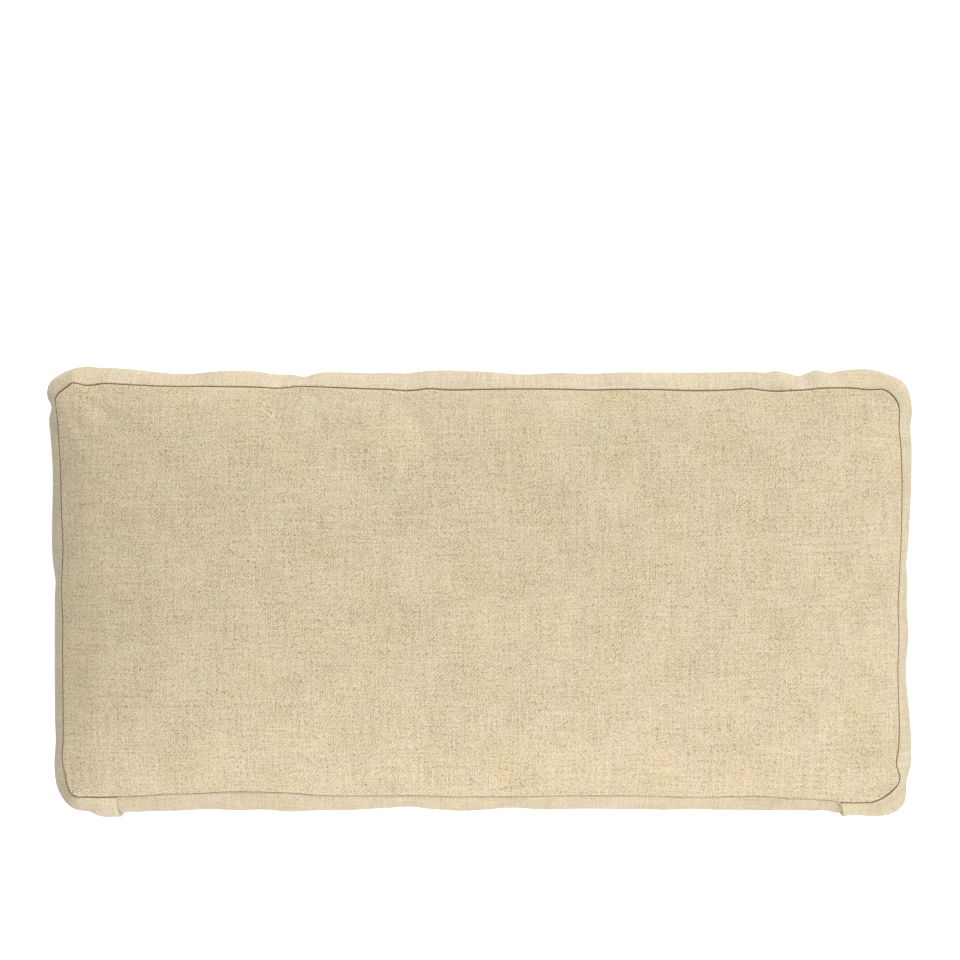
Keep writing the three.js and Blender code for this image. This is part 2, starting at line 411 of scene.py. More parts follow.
@dataclass(frozen=True)
class SeamLine:
    """The line in which the panels are sewn to the strips, the same at the front and at the back.

    A place on it is a turn from 0 to 4: the number of its side, and its share of that side.
    """

    front: float
    back: float
    length: float = 608 * MM
    width: float = 300 * MM
    middle: tuple[float, float] = (0.57 * MM, 2.58 * MM)
    joints_at: tuple[float, float] = (-264.6 * MM, 261.5 * MM)
    corner_reach: float = 60 * MM
    fine_steps: int = 20000

    def corner(self, index: int) -> np.ndarray:
        """Returns where a corner would be if the seam weren't rounded."""
        corner, half = CORNERS[index % 4], np.array([self.length, self.width]) / 2
        return np.array(corner.at) * half + corner.pulled + self.middle

    def direction(self, index: int) -> np.ndarray:
        """Returns the direction of a side."""
        return unit(self.corner(index + 1) - self.corner(index))

    def outward(self, index: int) -> np.ndarray:
        """Returns the direction that a side faces."""
        along = self.direction(index)
        return np.array([along[1], -along[0]])

    def half_turn(self, index: int) -> float:
        """Returns half of the angle by which the seam turns at a corner."""
        before, after = self.direction(index - 1), self.direction(index)
        return math.acos(float(np.clip(before @ after, -1, 1))) / 2

    def waves(self, side: Side, place: np.ndarray, measure: str) -> np.ndarray:
        """Returns what a side's waves add to the seam or to the strip at places along it."""
        waves = [wave for wave in WAVES if wave.side is side]
        return sum(getattr(wave, measure) * wave.strength(place) for wave in waves)

    def side(self, side: Side, share: np.ndarray) -> Stations:
        """Works out stations on one side.

        Args:
            side: The side.
            share: How far along it each station is, from the middle of one corner to the next.

        Returns:
            The stations.
        """
        index = side.value
        start, end = CORNERS[index], CORNERS[(index + 1) % 4]
        turn_in, turn_out = self.half_turn(index), self.half_turn(index + 1)
        along, out = self.direction(index), self.outward(index)
        first, last = self.corner(index), self.corner(index + 1)
        half = float(np.linalg.norm(last - first)) / 2

        round_in, round_out = start.radius * turn_in, end.radius * turn_out
        straight_from = start.radius * math.tan(turn_in) - half
        straight_to = half - end.radius * math.tan(turn_out)
        run = share * (round_in + straight_to - straight_from + round_out)

        left = np.maximum(0, turn_in - run / start.radius)
        right = np.maximum(0, (run - round_in - straight_to + straight_from) / end.radius)
        place = np.clip(straight_from + run - round_in, straight_from, straight_to)
        place -= start.along(left, turn_in) - end.along(right, turn_out)
        inward = start.inward(left, turn_in) + end.inward(right, turn_out)

        lowest = straight_from - start.along(turn_in, turn_in)
        span = straight_to + end.along(turn_out, turn_out) - lowest
        share_along = (place - lowest) / span
        on_line = (first + last) / 2 + along * place[:, None]
        axis = 0 if side in (Side.BASE, Side.HEAD) else 1
        at = on_line[:, axis] - self.middle[axis]
        drawn = SIDES[side].drawn * (1 - (2 * share_along - 1) ** 2)
        moved = self.waves(side, at, "seam") - drawn - inward

        swell = SIDES[side].swell + self.waves(side, at, "strip")
        swell += (start.swell - SIDES[side].swell) * self.near_corner(place - lowest)
        swell += (end.swell - SIDES[side].swell) * self.near_corner(lowest + span - place)
        return Stations(
            point=on_line + out * moved[:, None],
            out=turned(np.broadcast_to(out, on_line.shape), right - left),
            swell=swell,
            share=share_along,
            on_base=self.between_joints(side, place),
        )

    def near_corner(self, distance: np.ndarray) -> np.ndarray:
        """Returns how much of a corner's swell is left at distances from it."""
        return fading(distance / self.corner_reach)

    def between_joints(self, side: Side, place: np.ndarray) -> np.ndarray:
        """Returns 1 where a place lies on the base side between the joint seams, and else 0."""
        inside = (place >= self.joints_at[0]) & (place <= self.joints_at[1])
        return (inside & (side is Side.BASE)).astype(float)

    def at(self, turn: np.ndarray) -> Stations:
        """Works out stations anywhere on the seam line.

        Args:
            turn: The places, each the number of a side and the share of it.

        Returns:
            The stations, in the same order.
        """
        turn = np.asarray(turn, float) % 4
        size = len(turn)
        found = Stations(
            np.zeros((size, 2)), np.zeros((size, 2)), *(np.zeros(size) for _ in range(3))
        )
        for side in Side:
            chosen = np.floor(turn).astype(int) == side.value
            if chosen.any():
                part = self.side(side, turn[chosen] - side.value)
                for name in vars(found):
                    getattr(found, name)[chosen] = getattr(part, name)
        moved = np.zeros(size)
        for tug in TUGS:
            strength = tug.strength(found.point)
            moved += tug.seam * MM * strength
            found.swell[:] += tug.strip * MM * strength
        found.point[:] += found.out * moved[:, None]
        return found

    def inner(self, turn: np.ndarray, inset: float) -> np.ndarray:
        """Works out a calmer line inside the seam, with sharp corners.

        Args:
            turn: Places as on the seam line.
            inset: How far inside the seam's straight sides the line runs.

        Returns:
            Points seen from above.
        """
        turn = np.asarray(turn, float) % 4
        index = np.floor(turn).astype(int)
        share = turn - index
        corners = []
        for corner in range(4):
            before, after = self.outward(corner - 1), self.outward(corner)
            corners.append(
                self.corner(corner) - inset * (before + after) / (1 + before @ after)
            )
        corners = np.array(corners)
        points = mix(corners[index], corners[(index + 1) % 4], share[:, None])
        for side in Side:
            chosen = index == side.value
            axis = 0 if side in (Side.BASE, Side.HEAD) else 1
            at = points[chosen, axis] - self.middle[axis]
            drawn = SIDES[side].drawn * (1 - (2 * share[chosen] - 1) ** 2)
            moved = 0.5 * self.waves(side, at, "seam") - drawn
            points[chosen] += self.outward(side.value) * moved[:, None]
        return points

    def joints(self) -> tuple[float, float]:
        """Looks for the joint seams along the base side.

        Returns:
            The turns at which the base strip starts and ends.
        """
        shares = np.linspace(0, 1, self.fine_steps + 1)
        inside = shares[self.side(Side.BASE, shares).on_base > 0]
        return float(inside[0]), float(inside[-1])


@dataclass(frozen=True)
class Crown:
    """The bulge of a face before the filling settles, and the flat that it rests on.

    Its lean is over 1 where the filling lies thickest nearer to the head side.
    """

    height: float = 31 * MM
    flat_along: float = 4.5
    flat_across: float = 2.8
    fullness: float = 0.64
    lean: float = 1.3
    resting_ease: float = 3 * MM

    def rise(self, along: np.ndarray, across: np.ndarray) -> np.ndarray:
        """Works out how full the crown is.

        Args:
            along: Shares of the face's length.
            across: Shares of its width.

        Returns:
            The share of the crown's height that it has there.
        """
        rest_along = 1 - np.abs(2 * along - 1) ** self.flat_along
        rest_across = 1 - np.abs(2 * across**self.lean - 1) ** self.flat_across
        return np.maximum(0, rest_along * rest_across) ** self.fullness

    def settled(self, height: np.ndarray) -> np.ndarray:
        """Eases heights into the patch that rests on the surface.

        Args:
            height: The heights that the crown would have in the air.

        Returns:
            The heights that it has at rest.
        """
        ease = self.resting_ease
        low = np.maximum(0, height + ease) ** 2 / (4 * ease)
        return np.where(height >= ease, height, low)


@dataclass(frozen=True)
class Form:
    """The pillow's form before it is filled: every place on it, from the seam line."""

    seam: SeamLine
    crown: Crown
    inset: float = 24 * MM
    base_set_in: float = 3 * MM

    def grid_points(self, face: Face, along: np.ndarray, across: np.ndarray) -> np.ndarray:
        """Works out the middle of a face, inside its inner line.

        Args:
            face: The face.
            along: Shares of the inner line's length.
            across: Shares of its width.

        Returns:
            Points, one row for each of along and one column for each of across.
        """
        base, head = self.seam.inner(along, self.inset), self.seam.inner(3 - along, self.inset)
        left, right = self.seam.inner(4 - across, self.inset), self.seam.inner(1 + across, self.inset)
        base[-1], right[-1] = right[0], head[-1]
        u, v = along[:, None, None], across[None, :, None]
        sides = mix(base[:, None], head[:, None], v) + mix(left[None], right[None], u)
        corners = mix(mix(base[0], base[-1], u), mix(head[0], head[-1], u), v)
        flat = sides - corners
        share_x = mix(self.inset / self.seam.length, 1 - self.inset / self.seam.length, along)
        share_y = mix(self.inset / self.seam.width, 1 - self.inset / self.seam.width, across)
        rise = self.crown.rise(share_x[:, None], share_y[None])
        return np.concatenate([flat, self.height(face, rise)[..., None]], axis=-1)

    def height(self, face: Face, rise: np.ndarray) -> np.ndarray:
        """Returns the heights of a face where it has so much of its crown."""
        seam = self.seam.front if face is Face.FRONT else self.seam.back
        return seam + face.value * self.crown.height * rise

    def edge_points(self, face: Face, turn: np.ndarray, distance: np.ndarray) -> np.ndarray:
        """Works out the edge of a face, between its inner line and its seam.

        Args:
            face: The face.
            turn: Places along the seam.
            distance: Distances inside the seam.

        Returns:
            Points, one row for each distance and one column for each turn.
        """
        station = self.seam.at(turn)
        inner = self.seam.inner(turn, self.inset)
        side = np.floor(np.asarray(turn) % 4).astype(int)
        share = station.share
        at_seam = np.stack([
            np.choose(side, [share, np.ones_like(share), 1 - share, np.zeros_like(share)]),
            np.choose(side, [np.zeros_like(share), share, np.ones_like(share), 1 - share]),
        ], axis=-1)
        margin = self.inset / np.array([self.seam.length, self.seam.width])
        within = np.asarray(turn) % 4 - side
        full = np.stack([
            np.choose(side, [within, np.ones_like(share), 1 - within, np.zeros_like(share)]),
            np.choose(side, [np.zeros_like(share), within, np.ones_like(share), 1 - within]),
        ], axis=-1)
        at_inner = mix(margin, 1 - margin, full)
        part = (distance / self.inset)[:, None, None]
        flat = mix(station.point[None], inner[None], part)
        shares = mix(at_seam[None], at_inner[None], part)
        rise = self.crown.rise(shares[..., 0], shares[..., 1])
        return np.concatenate([flat, self.height(face, rise)[..., None]], axis=-1)

    def set_in(self, turn: np.ndarray) -> np.ndarray:
        """Returns how far the side is set in at places along the seam."""
        return self.base_set_in * self.seam.at(turn).on_base

    def strip_points(self, turn: np.ndarray, level: np.ndarray, set_in: np.ndarray) -> np.ndarray:
        """Works out the swelling side, whose section is an arc from seam to seam.

        Args:
            turn: Places along the seam.
            level: Places across the strip, from -1 at the back seam to 1 at the front one.
            set_in: How far the side is set in at each turn.

        Returns:
            Points, one row for each level and one column for each turn.
        """
        station = self.seam.at(turn)
        swell = station.swell - set_in
        half = (self.seam.front - self.seam.back) / 2
        radius = (half**2 + swell**2) / (2 * swell)
        angle = np.arcsin(half / radius) * level[:, None]
        out = swell - radius + radius * np.cos(angle)
        flat = station.point[None] + station.out[None] * out[..., None]
        height = self.seam.back + half + radius * np.sin(angle)
        return np.concatenate([flat, height[..., None]], axis=-1)


def add_cells(name: str, columns: int, rows: int) -> bpy.types.Object:
    """Adds a flat grid of cells one unit across, with its first corner at the origin.

    Args:
        name: The new object's name.
        columns: How many cells it has along X.
        rows: How many it has along Y.

    Returns:
        The new object, in edit mode, with all of it selected.
    """
    bpy.ops.object.select_all(action="DESELECT")
    bpy.ops.mesh.primitive_grid_add(x_subdivisions=columns, y_subdivisions=rows, size=1)
    obj = bpy.context.object
    obj.name = obj.data.name = name
    bpy.ops.object.mode_set(mode="EDIT")
    bpy.ops.transform.resize(value=(columns, rows, 1))
    bpy.ops.transform.translate(value=(columns / 2, rows / 2, 0))
    return obj


def extrude_down(times: int) -> None:
    """Extrudes what is selected in edit mode one unit down, so many times."""
    for _ in range(times):
        bpy.ops.mesh.extrude_region_move(TRANSFORM_OT_translate={"value": (0, 0, -1)})


def read_points(obj: bpy.types.Object) -> np.ndarray:
    """Reads where the vertices of a piece are.

    Args:
        obj: The piece.

    Returns:
        A point for each vertex.
    """
    places = np.zeros(len(obj.data.vertices) * 3)
    obj.data.vertices.foreach_get("co", places)
    return places.reshape(-1, 3)


def cell_corners(obj: bpy.types.Object) -> tuple[np.ndarray, np.ndarray, np.ndarray]:
    """Returns the column, row and depth of each vertex of a piece that still lies in its cells."""
    column, row, depth = np.rint(read_points(obj)).astype(int).T
    return column, row, -depth


def lay_points(obj: bpy.types.Object, points: np.ndarray) -> None:
    """Moves the vertices of a piece to new places."""
    obj.data.vertices.foreach_set("co", np.ascontiguousarray(points, float).ravel())
    obj.data.update()


def unrolled(points: np.ndarray, start: np.ndarray, least_seen: float = 0.15) -> np.ndarray:
    """Lays lines of points flat, each step with its true length and its direction from above.

    Args:
        points: The points of the lines, one row for each step.
        start: Where the first points lie on the flat cloth.
        least_seen: The least share of a steep step's length that is taken to show from above.

    Returns:
        Where all of them lie on the flat cloth.
    """
    steps = np.diff(points, axis=0)
    length = np.linalg.norm(steps, axis=-1, keepdims=True)
    seen = np.linalg.norm(steps[..., :2], axis=-1, keepdims=True)
    flat = steps[..., :2] * length / np.maximum(seen, least_seen * length + 1e-9)
    return np.concatenate([start[None], start[None] + np.cumsum(flat, axis=0)])


def softened(values: np.ndarray, times: int, share: float = 0.6) -> np.ndarray:
    """Smooths the small wrinkles out of a grid of values, and leaves its rim as it was.

    Args:
        values: The grid.
        times: How many times each value goes part of the way to its neighbours' mean.
        share: How much of the way it goes each time.

    Returns:
        The softened grid.
    """
    for _ in range(times):
        around = values[:-2, 1:-1] + values[2:, 1:-1] + values[1:-1, :-2] + values[1:-1, 2:]
        values = values.copy()
        values[1:-1, 1:-1] = mix(values[1:-1, 1:-1], around / 4, share)
    return values


def map_cloth(obj: bpy.types.Object, places: np.ndarray) -> None:
    """Gives a piece the map of its cloth, in metres.

    Args:
        obj: The piece.
        places: Where each of its vertices lies on the flat cut.
    """
    layer = obj.data.uv_layers[0]
    layer.name = CLOTH_MAP
    corners = np.zeros(len(obj.data.loops), dtype=np.int32)
    obj.data.loops.foreach_get("vertex_index", corners)
    layer.uv.foreach_set("vector", places[corners].astype(np.float32).ravel())


def paint_shade(obj: bpy.types.Object, shade: np.ndarray) -> None:
    """Writes on each vertex of a piece how much painted shade darkens its colour."""
    attribute = obj.data.attributes.new(PAINTED_SHADE, "FLOAT", "POINT")
    attribute.data.foreach_set("value", shade.astype(np.float32))


def boundary_station(column: np.ndarray, row: np.ndarray, columns: int, rows: int) -> np.ndarray:
    """Counts how many cells round its edge the corners of cells on that edge lie.

    Args:
        column: The column of each corner.
        row: Its row.
        columns: How many columns of cells there are.
        rows: How many rows.

    Returns:
        The count for each corner, counter-clockwise from the first.
    """
    return np.select(
        [row == 0, column == columns, row == rows],
        [column, columns + row, 2 * columns + rows - column],
        2 * (columns + rows) - row,
    ) % (2 * (columns + rows))


def boundary_turns(columns: int, rows: int) -> np.ndarray:
    """Returns the place on the seam line of each station round the edge of a face's grid."""
    along, across = np.arange(columns) / columns, np.arange(rows) / rows
    return np.concatenate([along, 1 + across, 2 + along, 3 + across])


@dataclass
class Filling:
    """The filled cover: how far the cloth moves from the pillow's form when it is filled."""

    form: Form
    columns: int = 90
    rows: int = 40
    edge_rows: int = 4
    strip_rows: int = 12
    pressure: float = 4.0
    frames: int = 20
    quality: int = 6
    mass: float = 0.3
    panel_give: float = 9 * MM
    strip_give: float = 1.5 * MM
    smoothing: int = 8
    moved_grid: dict[Face, np.ndarray] = field(default_factory=dict)
    moved_rows: np.ndarray | None = None

    def run(self) -> None:
        """Sews the closed cover, fills it, and keeps how far each place on it moved."""
        depth = 2 * self.edge_rows + self.strip_rows
        cover = add_cells("cover", self.columns, self.rows)
        extrude_down(depth)
        bpy.ops.object.mode_set(mode="OBJECT")
        column, row, down = cell_corners(cover)
        station = boundary_station(column, row, self.columns, self.rows)
        grid = {face: self.grid(face) for face in Face}
        bands = self.bands()

        points = bands[np.clip(down, 0, depth), station]
        for face, level in ((Face.FRONT, 0), (Face.BACK, depth)):
            chosen = down == level
            points[chosen] = grid[face][column[chosen], row[chosen]]
        lay_points(cover, points)
        seams = (down == self.edge_rows) | (down == self.edge_rows + self.strip_rows)
        self.fill(cover, seams)
        moved = self.held_back(read_points(cover) - points, down)

        on_front, on_back = down == 0, down == depth
        for face, chosen in ((Face.FRONT, on_front), (Face.BACK, on_back)):
            self.moved_grid[face] = np.zeros_like(grid[face])
            self.moved_grid[face][column[chosen], row[chosen]] = moved[chosen]
            self.moved_grid[face] = softened(self.moved_grid[face], self.smoothing)
        self.moved_rows = np.zeros_like(bands)
        edge = (column % self.columns == 0) | (row % self.rows == 0)
        self.moved_rows[down[edge], station[edge]] = moved[edge]
        bpy.data.objects.remove(cover)

    def grid(self, face: Face) -> np.ndarray:
        """Returns the form's points in the middle of a face, one for each corner of its cells."""
        along = np.linspace(0, 1, self.columns + 1)
        return self.form.grid_points(face, along, np.linspace(0, 1, self.rows + 1))

    def bands(self) -> np.ndarray:
        """Works out the form from the front's inner line, over the side, to the back's.

        Returns:
            Points, one row for each band of cells and one column for each station.
        """
        turn = boundary_turns(self.columns, self.rows)
        distance = np.linspace(self.form.inset, 0, self.edge_rows + 1)
        level = np.linspace(1, -1, self.strip_rows + 1)
        return np.concatenate([
            self.form.edge_points(Face.FRONT, turn, distance),
            self.form.strip_points(turn, level, self.form.set_in(turn))[1:-1],
            self.form.edge_points(Face.BACK, turn, distance[::-1]),
        ])

    def fill(self, cover: bpy.types.Object, seams: np.ndarray) -> None:
        """Blows up the cover with Blender's cloth, its two seam lines held where they are.

        Args:
            cover: The closed cover.
            seams: Which of its vertices lie on a seam line.
        """
        bpy.ops.object.mode_set(mode="EDIT")
        bpy.ops.mesh.select_all(action="SELECT")
        bpy.ops.mesh.normals_make_consistent(inside=False)
        bpy.ops.object.mode_set(mode="OBJECT")
        held = cover.vertex_groups.new(name="seams")
        held.add(np.flatnonzero(seams).tolist(), 1.0, "REPLACE")
        bpy.ops.object.modifier_add(type="CLOTH")
        cloth = cover.modifiers[-1]
        cloth.settings.quality = self.quality
        cloth.settings.mass = self.mass
        cloth.settings.use_pressure = True
        cloth.settings.uniform_pressure_force = self.pressure
        cloth.settings.effector_weights.gravity = 0
        cloth.settings.vertex_group_mass = held.name
        cloth.point_cache.frame_start = 1
        cloth.point_cache.frame_end = self.frames
        for frame in range(1, self.frames + 1):
            bpy.context.scene.frame_set(frame)
        bpy.ops.object.modifier_apply(modifier=cloth.name)
        bpy.context.scene.frame_set(1)

    def held_back(self, moved: np.ndarray, down: np.ndarray) -> np.ndarray:
        """Caps how far the cloth may move, on the panels and on the strips.

        Args:
            moved: How far each vertex moved.
            down: How many rows below the front grid each one lies.

        Returns:
            The capped moves.
        """
        on_strip = (down > self.edge_rows) & (down < self.edge_rows + self.strip_rows)
        give = np.where(on_strip, self.strip_give, self.panel_give)[:, None]
        length = np.linalg.norm(moved, axis=1, keepdims=True)
        log.info("the filling moves the panels by up to %.1f mm and the strips by up to %.1f mm",
                 1000 * length[~on_strip].max(), 1000 * length[on_strip].max())
        return moved * np.tanh(length / give) * give / np.maximum(length, 1e-9)

    def on_grid(self, face: Face, along: np.ndarray, across: np.ndarray) -> np.ndarray:
        """Returns how far the middle of a face moves, at shares of its length and width."""
        rows = read_between(self.moved_grid[face], along * self.columns)
        return read_between(rows.swapaxes(0, 1), across * self.rows).swapaxes(0, 1)

    def on_rows(self, first: int, last: int, row: np.ndarray, turn: np.ndarray) -> np.ndarray:
        """Reads how far the sides move.

        Args:
            first: The first of the cover's rows to read from.
            last: The last of them.
            row: Where to read between them, counted in rows.
            turn: Places along the seam.

        Returns:
            The moves, one row for each row and one column for each turn.
        """
        rows = read_between(self.moved_rows[first:last + 1], row - first)
        starts = np.concatenate([boundary_turns(self.columns, self.rows), [4.0]])
        station = np.interp(turn % 4, starts, np.arange(len(starts)))
        return read_between(rows.swapaxes(0, 1), station, closed=True).swapaxes(0, 1)

    def on_edge(self, face: Face, turn: np.ndarray, distance: np.ndarray) -> np.ndarray:
        """Reads how far a face's edge moves.

        Args:
            face: The face.
            turn: Places along its seam.
            distance: Distances inside it.

        Returns:
            The moves, one row for each distance and one column for each turn.
        """
        part = self.edge_rows * (1 - distance / self.form.inset)
        if face is Face.FRONT:
            return self.on_rows(0, self.edge_rows, part, turn)
        last = 2 * self.edge_rows + self.strip_rows
        return self.on_rows(last - self.edge_rows, last, last - part, turn)

    def on_strip(self, turn: np.ndarray, level: np.ndarray) -> np.ndarray:
        """Reads how far the side moves.

        Args:
            turn: Places along the seam.
            level: Places across the side, from -1 at the back seam to 1 at the front one.

        Returns:
            The moves, one row for each level and one column for each turn.
        """
        last = self.edge_rows + self.strip_rows
        part = self.edge_rows + (1 - level) / 2 * self.strip_rows
        return self.on_rows(self.edge_rows, last, part, turn)


# How far the rows of a panel's edge lie from its seam, in millimetres, from the form's inner line
# to the edge of the cloth that is turned in
EDGE_DISTANCES = (24, 21.5, 19, 16.5, 14, 11.5, 9, 7, 5.2, 3.8, 2.7, 1.9, 1.3, 0.85, 0.5, 0.25, 0.08,
                  0, -1.6, -3.2)

# How far from a seam the directions beside it are read
BESIDE_SEAM = 4 * MM


@dataclass(frozen=True)
class SeamEdge:
    """How a piece's edge rolls over into a seam, is turned in there, and takes painted shade near it.
    """

    roll: float = 1.3 * MM
    gap: float = 0.2 * MM
    shade_from: float = 0.85 * MM
    shade_to: float = 0.3 * MM

    def shade(self, distance: np.ndarray) -> np.ndarray:
        """Returns how much painted seam shade places take, from 0 to 1, more the deeper they lie in
        the seam.
        """
        share = np.clip((self.shade_from - distance) / (self.shade_from - self.shade_to), 0, 1)
        return share * share * (3 - 2 * share)

    def shape(self, points: np.ndarray, distance: np.ndarray, away: np.ndarray,
              down: np.ndarray) -> np.ndarray:
        """Rolls the rows of a piece into its seam.

        Args:
            points: The unrolled points, one row for each distance.
            distance: Distances from the seam, below 0 where the edge is turned in by so much.
            away: The direction from the seam into the piece, for each column.
            down: The direction into the pillow, for each column.

        Returns:
            The rolled points.
        """
        near = np.clip(1 - distance / self.roll, 0, 1)
        sink = self.roll * (1 - np.sqrt(1 - near**2)) + np.maximum(0, -distance)
        shift = self.gap / 2 * near
        return points + down[None] * sink[:, None, None] + away[None] * shift[:, None, None]


def seam_frame(form: Form, face: Face, turn: np.ndarray) -> tuple[np.ndarray, ...]:
    """Works out the directions beside a seam.

    Args:
        form: The pillow's form.
        face: The face whose seam it is.
        turn: Places along the seam.

    Returns:
        The directions from the seam into the panel, from it into the strip, and into the pillow.
    """
    just_inside = 0.9
    start, inside = form.edge_points(face, turn, np.array([0, BESIDE_SEAM]))
    to_panel = unit(inside - start)
    strip = form.strip_points(turn, face.value * np.array([1.0, just_inside]), form.set_in(turn))
    to_strip = unit(strip[1] - strip[0])
    out = form.seam.at(turn).out
    flat_out = np.concatenate([out, np.zeros((len(out), 1))], axis=1)
    along = np.cross(flat_out, [0, 0, 1.0])
    normals = unit(np.cross(to_panel, along)), unit(np.cross(along, to_strip))
    into = -unit(normals[0] * np.sign((normals[0] * flat_out).sum(1))[:, None]
                 + normals[1] * np.sign((normals[1] * flat_out).sum(1))[:, None])
    return to_panel, to_strip, into


# What a node's input takes: a number, a vector or a colour, or what another node puts out
Value = float | tuple | bpy.types.NodeSocket


class Nodes:
    """Adds shader nodes to one tree and joins them."""

    def __init__(self, tree: bpy.types.NodeTree) -> None:
        """Starts on a tree."""
        self.tree = tree

    def join(self, value: Value, socket: bpy.types.NodeSocket) -> None:
        """Gives an input its value.

        Args:
            value: A number, a vector or what another node puts out.
            socket: The input.
        """
        if isinstance(value, bpy.types.NodeSocket):
            self.tree.links.new(value, socket)
        else:
            socket.default_value = value

    def fill(self, node: bpy.types.Node, inputs: dict[str, Value]) -> bpy.types.Node:
        """Gives a node its inputs.

        Args:
            node: The node.
            inputs: Its inputs by their names, with _ for a space.

        Returns:
            The same node.
        """
        for name, value in inputs.items():
            self.join(value, node.inputs[name.replace("_", " ")])
        return node

    def add(self, kind: str, **inputs: Value) -> bpy.types.Node:
        """Adds a shader node of a kind, with its inputs by their names, and returns it."""
        return self.fill(self.tree.nodes.new(f"ShaderNode{kind}"), inputs)

    def group(self, tree: bpy.types.NodeTree, **inputs: Value) -> bpy.types.bpy_prop_collection:
        """Places a node group.

        Args:
            tree: The group.
            inputs: Its inputs by their names, with _ for a space.

        Returns:
            Its outputs.
        """
        node = self.add("Group")
        node.node_tree = tree
        return self.fill(node, inputs).outputs

    def step(self, kind: str, operation: str, values: tuple[Value, ...]) -> bpy.types.Node:
        """Adds one step of arithmetic.

        Args:
            kind: Math or VectorMath.
            operation: What the step does.
            values: What it works on, in order.

        Returns:
            The node.
        """
        node = self.add(kind)
        node.operation = operation
        for value, socket in zip(values, node.inputs):
            self.join(value, socket)
        return node

    def math(self, operation: str, *values: Value) -> bpy.types.NodeSocket:
        """Returns the result of one step of arithmetic."""
        return self.step("Math", operation, values).outputs["Value"]

    def vector_math(self, operation: str, *values: Value) -> bpy.types.NodeSocket:
        """Returns the result of one step of arithmetic with vectors."""
        return self.step("VectorMath", operation, values).outputs["Vector"]

    def scaled(self, vector: bpy.types.NodeSocket, scale: float) -> bpy.types.NodeSocket:
        """Returns a vector made longer or shorter."""
        return self.vector_math("MULTIPLY", vector, (scale, scale, scale))

    def noise(self, place: bpy.types.NodeSocket, size: float, detail: float = 0.0,
              output: str = "Fac") -> bpy.types.NodeSocket:
        """Returns smooth noise whose lumps are about so large, from 0 to 1."""
        node = self.add("TexNoise", Vector=place, Scale=1 / size, Detail=detail)
        return node.outputs[output]

    def uneven(self, place: bpy.types.NodeSocket, size: float,
               detail: float = 0.0) -> bpy.types.NodeSocket:
        """Returns smooth noise from about -1 to 1."""
        return self.math("MULTIPLY_ADD", self.noise(place, size, detail), 2.0, -1.0)


def new_group(name: str, given: tuple[str, ...], results: tuple[str, ...]) -> bpy.types.NodeTree:
    """Makes an empty node group that works on a place in millimetres on the cloth.

    Args:
        name: The group's name.
        given: The names of the numbers that it takes besides the place.
        results: The names of the numbers that it puts out.

    Returns:
        The group.
    """
    tree = bpy.data.node_groups.new(name, "ShaderNodeTree")
    tree.interface.new_socket("Place", in_out="INPUT", socket_type="NodeSocketVector")
    for way, entries in (("INPUT", given), ("OUTPUT", results)):
        for entry in entries:
            tree.interface.new_socket(entry, in_out=way, socket_type="NodeSocketFloat")
    return tree


def weave_group() -> bpy.types.NodeTree:
    """Makes a plain weave of uneven threads, once.

    Returns:
        The group. It puts out how far the warp lies over the weft, how high the cloth stands, and
        how light each thread is.
    """
    name = "uneven plain weave"
    drift_size, shiver_size, shiver_share = 22.0, 4.2, 0.55
    thread_apart, warp_layer, weft_layer = 3.7, 5.0, 9.0
    if name in bpy.data.node_groups:
        return bpy.data.node_groups[name]
    tree = new_group(name, ("Warp Pitch", "Weft Pitch", "Wander", "Slub Length"),
                     ("Over", "Height", "Thread"))
    nodes = Nodes(tree)
    given = nodes.tree.nodes.new("NodeGroupInput").outputs
    place = given["Place"]

    drift = nodes.noise(place, drift_size, output="Color")
    shiver = nodes.noise(place, shiver_size, output="Color")
    both = nodes.vector_math("ADD", drift, nodes.scaled(shiver, shiver_share))
    moved = nodes.vector_math("MULTIPLY_ADD", both, given["Wander"], place)
    parts = nodes.add("SeparateXYZ", Vector=moved).outputs
    warp = nodes.math("DIVIDE", parts["X"], given["Warp Pitch"])
    weft = nodes.math("DIVIDE", parts["Y"], given["Weft Pitch"])
    warp_wave = nodes.math("SINE", nodes.math("MULTIPLY", warp, math.pi))
    weft_wave = nodes.math("SINE", nodes.math("MULTIPLY", weft, math.pi))
    over = nodes.math("MULTIPLY", warp_wave, weft_wave)

    warp_share = nodes.math("MULTIPLY_ADD", over, 0.5, 0.5)
    weft_share = nodes.math("MULTIPLY_ADD", over, -0.5, 0.5)
    warp_high = nodes.math("MULTIPLY", nodes.math("ABSOLUTE", warp_wave), warp_share)
    weft_high = nodes.math("MULTIPLY", nodes.math("ABSOLUTE", weft_wave), weft_share)
    height = nodes.math("MAXIMUM", warp_high, weft_high)

    slub = given["Slub Length"]
    warp_row = nodes.math("MULTIPLY", nodes.math("FLOOR", warp), thread_apart)
    weft_row = nodes.math("MULTIPLY", nodes.math("FLOOR", weft), thread_apart)
    warp_line = nodes.add("CombineXYZ", X=warp_row, Y=nodes.math("DIVIDE", parts["Y"], slub),
                          Z=warp_layer)
    weft_line = nodes.add("CombineXYZ", X=nodes.math("DIVIDE", parts["X"], slub), Y=weft_row,
                          Z=weft_layer)
    warp_light = nodes.uneven(warp_line.outputs["Vector"], 1.0, 1.0)
    weft_light = nodes.uneven(weft_line.outputs["Vector"], 1.0, 1.0)
    thread = nodes.add("Mix", Factor=warp_share, A=weft_light, B=warp_light).outputs["Result"]

    results = {"Over": over, "Height": height, "Thread": thread}
    nodes.fill(nodes.tree.nodes.new("NodeGroupOutput"), results)
    return tree


